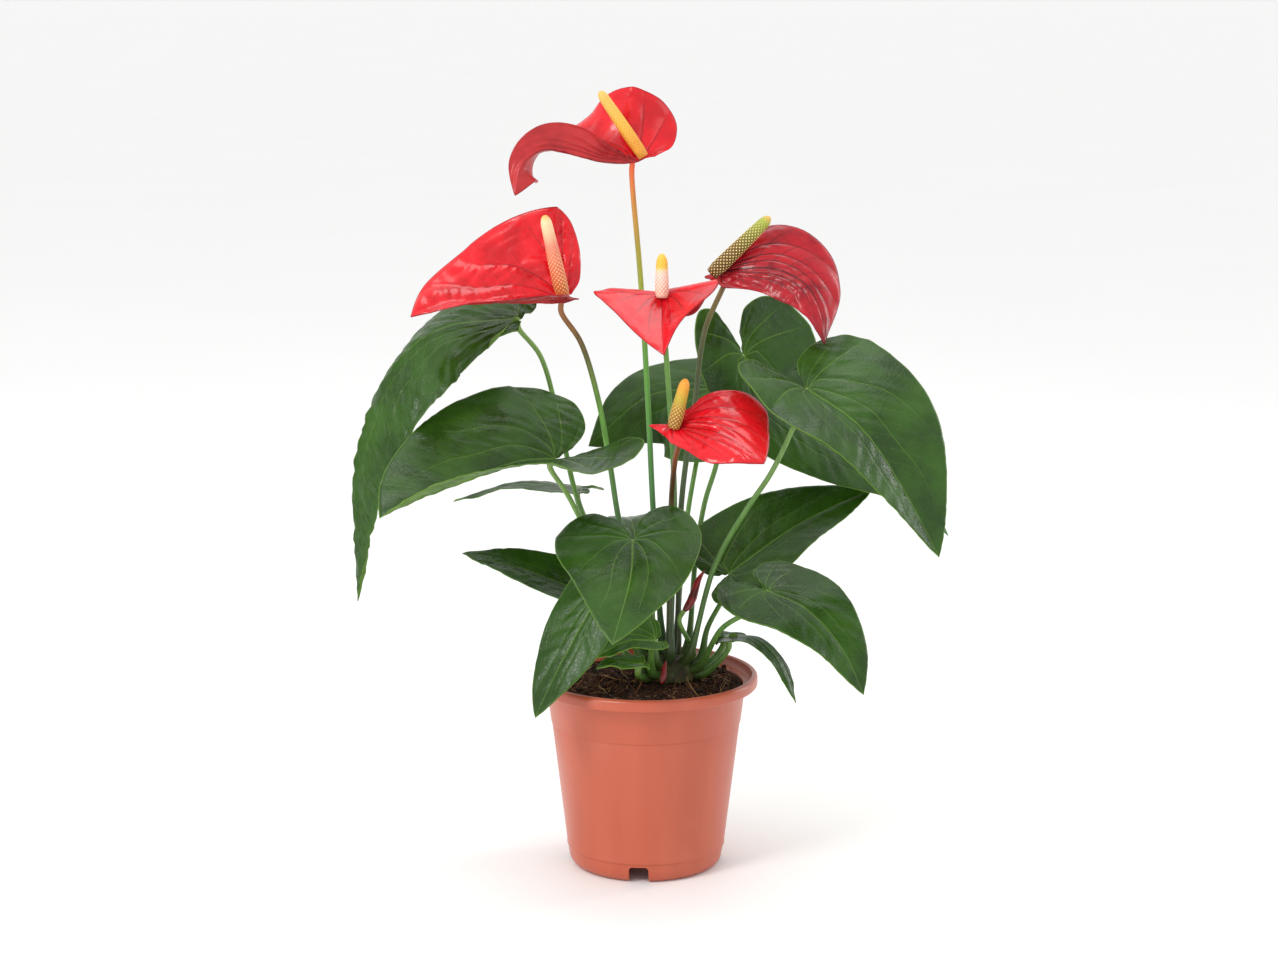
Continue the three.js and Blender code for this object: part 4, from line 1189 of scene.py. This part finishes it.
leafStalkStops = [
    (0.0, tone(62, 78, 34)), (0.15, tone(80, 116, 48)), (0.6, tone(96, 140, 60)), (0.93, tone(124, 162, 76)),
    (1.0, tone(146, 176, 92))]
flowerStalkStops = {
    "flower_1": [
        (0.0, tone(60, 90, 42)), (0.35, tone(72, 132, 62)), (0.62, tone(98, 156, 56)),
        (0.8, tone(158, 158, 50)), (0.92, tone(196, 128, 46)), (1.0, tone(214, 78, 36))],
    "flower_2": [
        (0.0, tone(58, 84, 40)), (0.4, tone(70, 112, 52)), (0.66, tone(104, 158, 62)),
        (0.85, tone(92, 84, 34)), (1.0, tone(158, 92, 44))],
    "flower_3": [
        (0.0, tone(60, 72, 36)), (0.5, tone(66, 86, 42)), (0.8, tone(78, 84, 38)), (1.0, tone(128, 98, 44))],
    "flower_4": [
        (0.0, tone(60, 88, 42)), (0.5, tone(80, 124, 54)), (0.9, tone(108, 154, 64)),
        (1.0, tone(150, 120, 70))],
    "flower_5": [
        (0.0, tone(58, 80, 40)), (0.4, tone(70, 72, 36)), (0.75, tone(84, 54, 30)),
        (1.0, tone(168, 92, 48))],
}


def makeStalks():
    green = stalkMaterial("leafStalk", leafStalkStops)
    for name, shape in leafShapes.items():
        makeStalk(name + "_petiole", shape, stalk["leafThickness"], stalk["leafRadius"],
                  stalk["leafJoint"], green, name + "_stalk")
    for name, shape in flowerShapes.items():
        skin = stalkMaterial(name + "Skin", flowerStalkStops[name])
        makeStalk(name + "_peduncle", shape, stalk["spatheThickness"], stalk["flowerRadius"],
                  stalk["flowerJoint"], skin, name + "_stalk")


makeStalks()
print("stalks: sixteen for leaves, five for flowers")


# Spadices

spadix = dict(
    segments=84, rings=150, columns=10, pitch=2.3, dot=0.5, cell=0.16, taper=0.26, sunk=0.9,
    stubWidth=0.86, toeWidth=0.96, dotFade=0.25)
# dots is how far up its raised dots go, and how high they stand
spadixLooks = {
    "flower_1": dict(
        dots=(0.0, 0.0), dotColour=tone(246, 214, 130),
        stops=[(0.0, tone(226, 152, 50)), (0.3, tone(232, 176, 62)), (0.7, tone(226, 184, 84)),
               (1.0, tone(222, 186, 96))]),
    "flower_2": dict(
        dots=(0.62, 0.5), dotColour=tone(250, 200, 138),
        stops=[(0.0, tone(206, 122, 62)), (0.25, tone(222, 116, 84)), (0.6, tone(236, 142, 118)),
               (0.8, tone(246, 206, 164)), (0.93, tone(248, 216, 170)), (1.0, tone(240, 178, 90))]),
    "flower_3": dict(
        dots=(0.95, 0.7), dotColour=tone(236, 214, 140),
        stops=[(0.0, tone(98, 66, 24)), (0.4, tone(108, 82, 30)), (0.65, tone(122, 124, 40)),
               (0.9, tone(158, 172, 62)), (1.0, tone(228, 178, 92))]),
    "flower_4": dict(
        dots=(0.5, 0.4), dotColour=tone(252, 222, 206),
        stops=[(0.0, tone(236, 182, 160)), (0.45, tone(244, 204, 188)), (0.56, tone(246, 208, 160)),
               (0.64, tone(238, 190, 60)), (0.85, tone(238, 184, 50)), (1.0, tone(246, 196, 84))]),
    "flower_5": dict(
        dots=(0.55, 0.4), dotColour=tone(228, 190, 112),
        stops=[(0.0, tone(150, 102, 40)), (0.3, tone(170, 130, 46)), (0.55, tone(190, 166, 52)),
               (0.8, tone(222, 158, 46)), (1.0, tone(240, 152, 48))]),
}


def spadixMaterial(name, look, rows):
    material, tree, shader = newMaterial(name, 0.5, coat=0.05, specular=0.4)
    around, along = mapPair(tree, "wrap")
    columns = float(spadix["columns"])
    first = maths(tree, "MULTIPLY_ADD", around, columns, maths(tree, "MULTIPLY", along, rows))
    turned = maths(tree, "MULTIPLY", around, columns)
    second = maths(tree, "SUBTRACT", turned, maths(tree, "MULTIPLY", along, rows))
    bead = maths(tree, "MULTIPLY", maths(tree, "COSINE", maths(tree, "MULTIPLY", first, math.pi)),
                 maths(tree, "COSINE", maths(tree, "MULTIPLY", second, math.pi)))
    bead = maths(tree, "ABSOLUTE", bead)
    colour = ramped(tree, along, look["stops"])
    # painted shade: the colour is darkened in the grooves between the beads, where shade falls
    seam = mixed(tree, 1.0, colour, (0.72, 0.62, 0.5, 1), "MULTIPLY")
    colour = mixed(tree, ranged(tree, bead, 0.35, 0.0, 0, 0.6), colour, seam)
    upTo = look["dots"][0]
    share = ranged(tree, along, upTo, upTo - spadix["dotFade"], 0.15, 1.0) if upTo else 0.15
    dots = maths(tree, "MULTIPLY", ranged(tree, bead, 0.62, 0.84), share)
    colour = mixed(tree, dots, colour, look["dotColour"])
    plug(tree, shader.inputs["Base Color"], colour)
    grain = speckled(tree, objectPlace(tree), 1400, 2)
    plug(tree, shader.inputs["Normal"], bumped(tree, grain, 0.25, 0.0003))
    return material


def spadixProfile(radius, lift, tall):
    # a stub down to the spathe, then a column that tapers to a round end
    profile = [(0.0, -lift * spadix["sunk"]), (radius * spadix["stubWidth"], -lift * spadix["sunk"])]
    profile.append((radius * 0.95, -lift * 0.45))
    endLength = 1.5 * radius
    for i in range(spadix["rings"]):
        z = tall * i / spadix["rings"]
        body = radius * (1.0 - spadix["taper"] * (z / tall) ** 1.6)
        swell = math.sqrt(max(0, 1 - (1 - min(z / (0.8 * radius), 1)) ** 2))
        toe = min(1, swell * (1 - spadix["toeWidth"]) + spadix["toeWidth"])
        nearEnd = max(0.0, (z - (tall - endLength)) / endLength)
        profile.append((body * toe * math.sqrt(max(0, 1 - nearEnd ** 2.2)), z))
    return profile + [(0.0, tall)]


def turnShare(x, y):
    return (math.atan2(y, x) / (2 * math.pi)) % 1


def beadHeight(look, around, share, rows):
    columns = spadix["columns"]
    upTo, strength = look["dots"]
    windings = [math.cos(math.pi * (columns * around + way * rows * share)) for way in (1, -1)]
    bead = abs(windings[0] * windings[1])
    fade = min(1, max(0, (upTo - share) / spadix["dotFade"])) if upTo else 0
    dot = min(1, max(0, (bead - 0.6) / 0.35))
    return spadix["cell"] * bead ** 0.5 + spadix["dot"] * strength * fade * dot * dot * (3 - 2 * dot)


def wrapSpadix(bm, tall):
    # its own map: once round it across, and from foot to end upwards
    wrap = bm.loops.layers.uv.new("wrap")
    for face in bm.faces:
        middle = face.calc_center_median()
        centre = turnShare(middle.x, middle.y)
        for loop in face.loops:
            place = loop.vert.co
            around = turnShare(place.x, place.y)
            if around - centre > 0.5:
                around -= 1
            if centre - around > 0.5:
                around += 1
            if math.hypot(place.x, place.y) < 1e-4:
                around = centre
            loop[wrap].uv = (around, place.z / tall)


def standUp(bm, foot, top):
    # from the Z axis to its own place and lean
    turn = Vector((0, 0, 1)).rotation_difference(top - foot).to_matrix()
    bmesh.ops.rotate(bm, matrix=turn, cent=(0, 0, 0), verts=bm.verts)
    bmesh.ops.translate(bm, vec=foot, verts=bm.verts)
    placeShape(bm)


def makeSpadix(name, shape):
    look = spadixLooks[name]
    radius = shape["spadixRadius"]
    point, normal = bladeRoot(shape)
    lift = stalk["spatheThickness"] / 2 + stalk["gap"] + radius * 0.9 + shape.get("lift", 0)
    foot = Vector(point + normal * lift)
    top = Vector(above(shape["spadix"]))
    tall = (top - foot).length
    rows = tall / spadix["pitch"]
    bm = bmesh.new()
    spunShape(bm, spadixProfile(radius, lift, tall), spadix["segments"])
    bm.normal_update()
    moves = []
    for vert in bm.verts:
        beaded = -0.85 * lift < vert.co.z < 0.995 * tall
        height = beadHeight(look, turnShare(vert.co.x, vert.co.y), vert.co.z / tall, rows)
        moves.append(vert.normal * height * beaded)
    for vert, move in zip(bm.verts, moves):
        vert.co += move
    wrapSpadix(bm, tall)
    standUp(bm, foot, top)
    material = spadixMaterial(name + "Beads", look, rows)
    finishPiece(name + "_column", bm, [material], [name + "_spadix"])


for flowerName, flowerShape in flowerShapes.items():
    makeSpadix(flowerName, flowerShape)
print("spadices: five")


# Furled bud, red sheath and crown

bud = dict(
    foot=(20, -8, 38), top=(32, -2, 60), radius=2.6, stalkRadius=1.3, start=(352, 48), stations=24,
    footSwell=0.8, swellLength=8)
sheath = dict(foot=(8, -24, 2.4), top=(11, -17, 14), radius=1.9)
furl = dict(rings=40, segments=36, turns=0.8, inner=0.86, outer=0.14, seam=0.1, seamAt=0.03, seamWidth=0.05)
# how wide a furled piece is, as shares of its height and radius
furledGirth = [(0, 0), (0.03, 0.55), (0.15, 0.86), (0.35, 1), (0.6, 0.82), (0.85, 0.4), (0.97, 0.12), (1, 0)]


def redMaterial():
    material, tree, shader = newMaterial("furledRed", 0.35, coat=0.3, coatRoughness=0.2)
    place = objectPlace(tree)
    cloud = speckled(tree, place, 160, 4)
    colour = mixed(tree, ranged(tree, cloud, 0.35, 0.65), tone(92, 10, 18), tone(160, 22, 32))
    plug(tree, shader.inputs["Base Color"], colour)
    plug(tree, shader.inputs["Normal"], bumped(tree, speckled(tree, place, 700), 0.3, 0.0005))
    return material


def makeFurled(name, piece, material, node, bend):
    # a blade rolled round itself: a spindle with one winding seam
    foot, top = Vector(above(piece["foot"])), Vector(above(piece["top"]))
    tall = (top - foot).length
    shares = np.linspace(0, 1, furl["rings"])
    radii = np.interp(shares, [g[0] for g in furledGirth], [g[1] for g in furledGirth]) * piece["radius"]
    bm = bmesh.new()
    spunShape(bm, [(r, s * tall) for r, s in zip(radii, shares)], furl["segments"])
    for vert in bm.verts:
        share = vert.co.z / tall
        around = (turnShare(vert.co.x, vert.co.y) - furl["turns"] * share) % 1
        seam = math.exp(-((around - furl["seamAt"]) / furl["seamWidth"]) ** 2)
        scale = furl["inner"] + furl["outer"] * around - furl["seam"] * seam
        sway = bend * math.sin(math.pi * 2 * share) * piece["radius"]
        vert.co = (vert.co.x * scale + sway, vert.co.y * scale, vert.co.z)
    standUp(bm, foot, top)
    finishPiece(name, bm, [material], [node])


def makeBud():
    red = redMaterial()
    makeFurled("furledSpathe", bud, red, "bud", 0.3)
    makeFurled("redSheath", sheath, red, "sheath", 0.15)
    foot, top = above(bud["foot"]), above(bud["top"])
    axis = unit(top - foot)
    azimuth, rise = bud["start"]
    route = [crownPoint(azimuth, rise, -stalk["sunk"]), crownPoint(azimuth, rise, stalk["clear"])]
    route += [foot - axis * stalk["neck"], foot + axis * 0.5]
    places, walked = smoothCurve(route)
    stations = np.linspace(0, walked[-1], bud["stations"])
    places = placeAt(places, walked, stations)
    swell = bud["footSwell"] * np.exp(-(stations / bud["swellLength"]) ** 2)
    radii = bud["stalkRadius"] * (1 + swell)
    bm = bmesh.new()
    along = bm.verts.layers.float.new("along")
    sweptTube(bm, places, radii, stalk["segments"], along, stations / walked[-1])
    bmesh.ops.recalc_face_normals(bm, faces=bm.faces)
    placeShape(bm)
    finishPiece("budStem", bm, [stalkMaterial("budStemSkin", leafStalkStops)], ["bud_stalk"])


crown = dict(segments=64, rings=24, knobScale=0.22, knobHeight=1.2)


def crownMaterial():
    material, tree, shader = newMaterial("crownSkin", 0.7)
    place = objectPlace(tree)
    cloud = speckled(tree, place, 120, 5)
    colour = mixed(tree, ranged(tree, cloud, 0.35, 0.65), tone(44, 40, 22), tone(86, 92, 44))
    plug(tree, shader.inputs["Base Color"], colour)
    plug(tree, shader.inputs["Normal"], bumped(tree, cloud, 0.6, 0.001))
    return material


def makeCrown():
    bm = bmesh.new()
    profile = [(0, 0)]
    for i in range(crown["rings"]):
        angle = math.pi / 2 * i / crown["rings"]
        profile.append((stalk["crownRadius"] * math.cos(angle), stalk["crownHeight"] * math.sin(angle)))
    profile.append((0, stalk["crownHeight"]))
    spunShape(bm, profile, crown["segments"])
    bm.normal_update()
    for vert in bm.verts:
        if vert.co.z > 0.01:
            knobs = noise.fractal(vert.co * crown["knobScale"], 1.0, 2.0, 3)
            vert.co += vert.normal * knobs * crown["knobHeight"]
    bmesh.ops.translate(bm, vec=Vector(crownCentre), verts=bm.verts)
    placeShape(bm)
    finishPiece("crownStem", bm, [crownMaterial()], ["crown"])


makeBud()
makeCrown()
print("bud, sheath and crown")
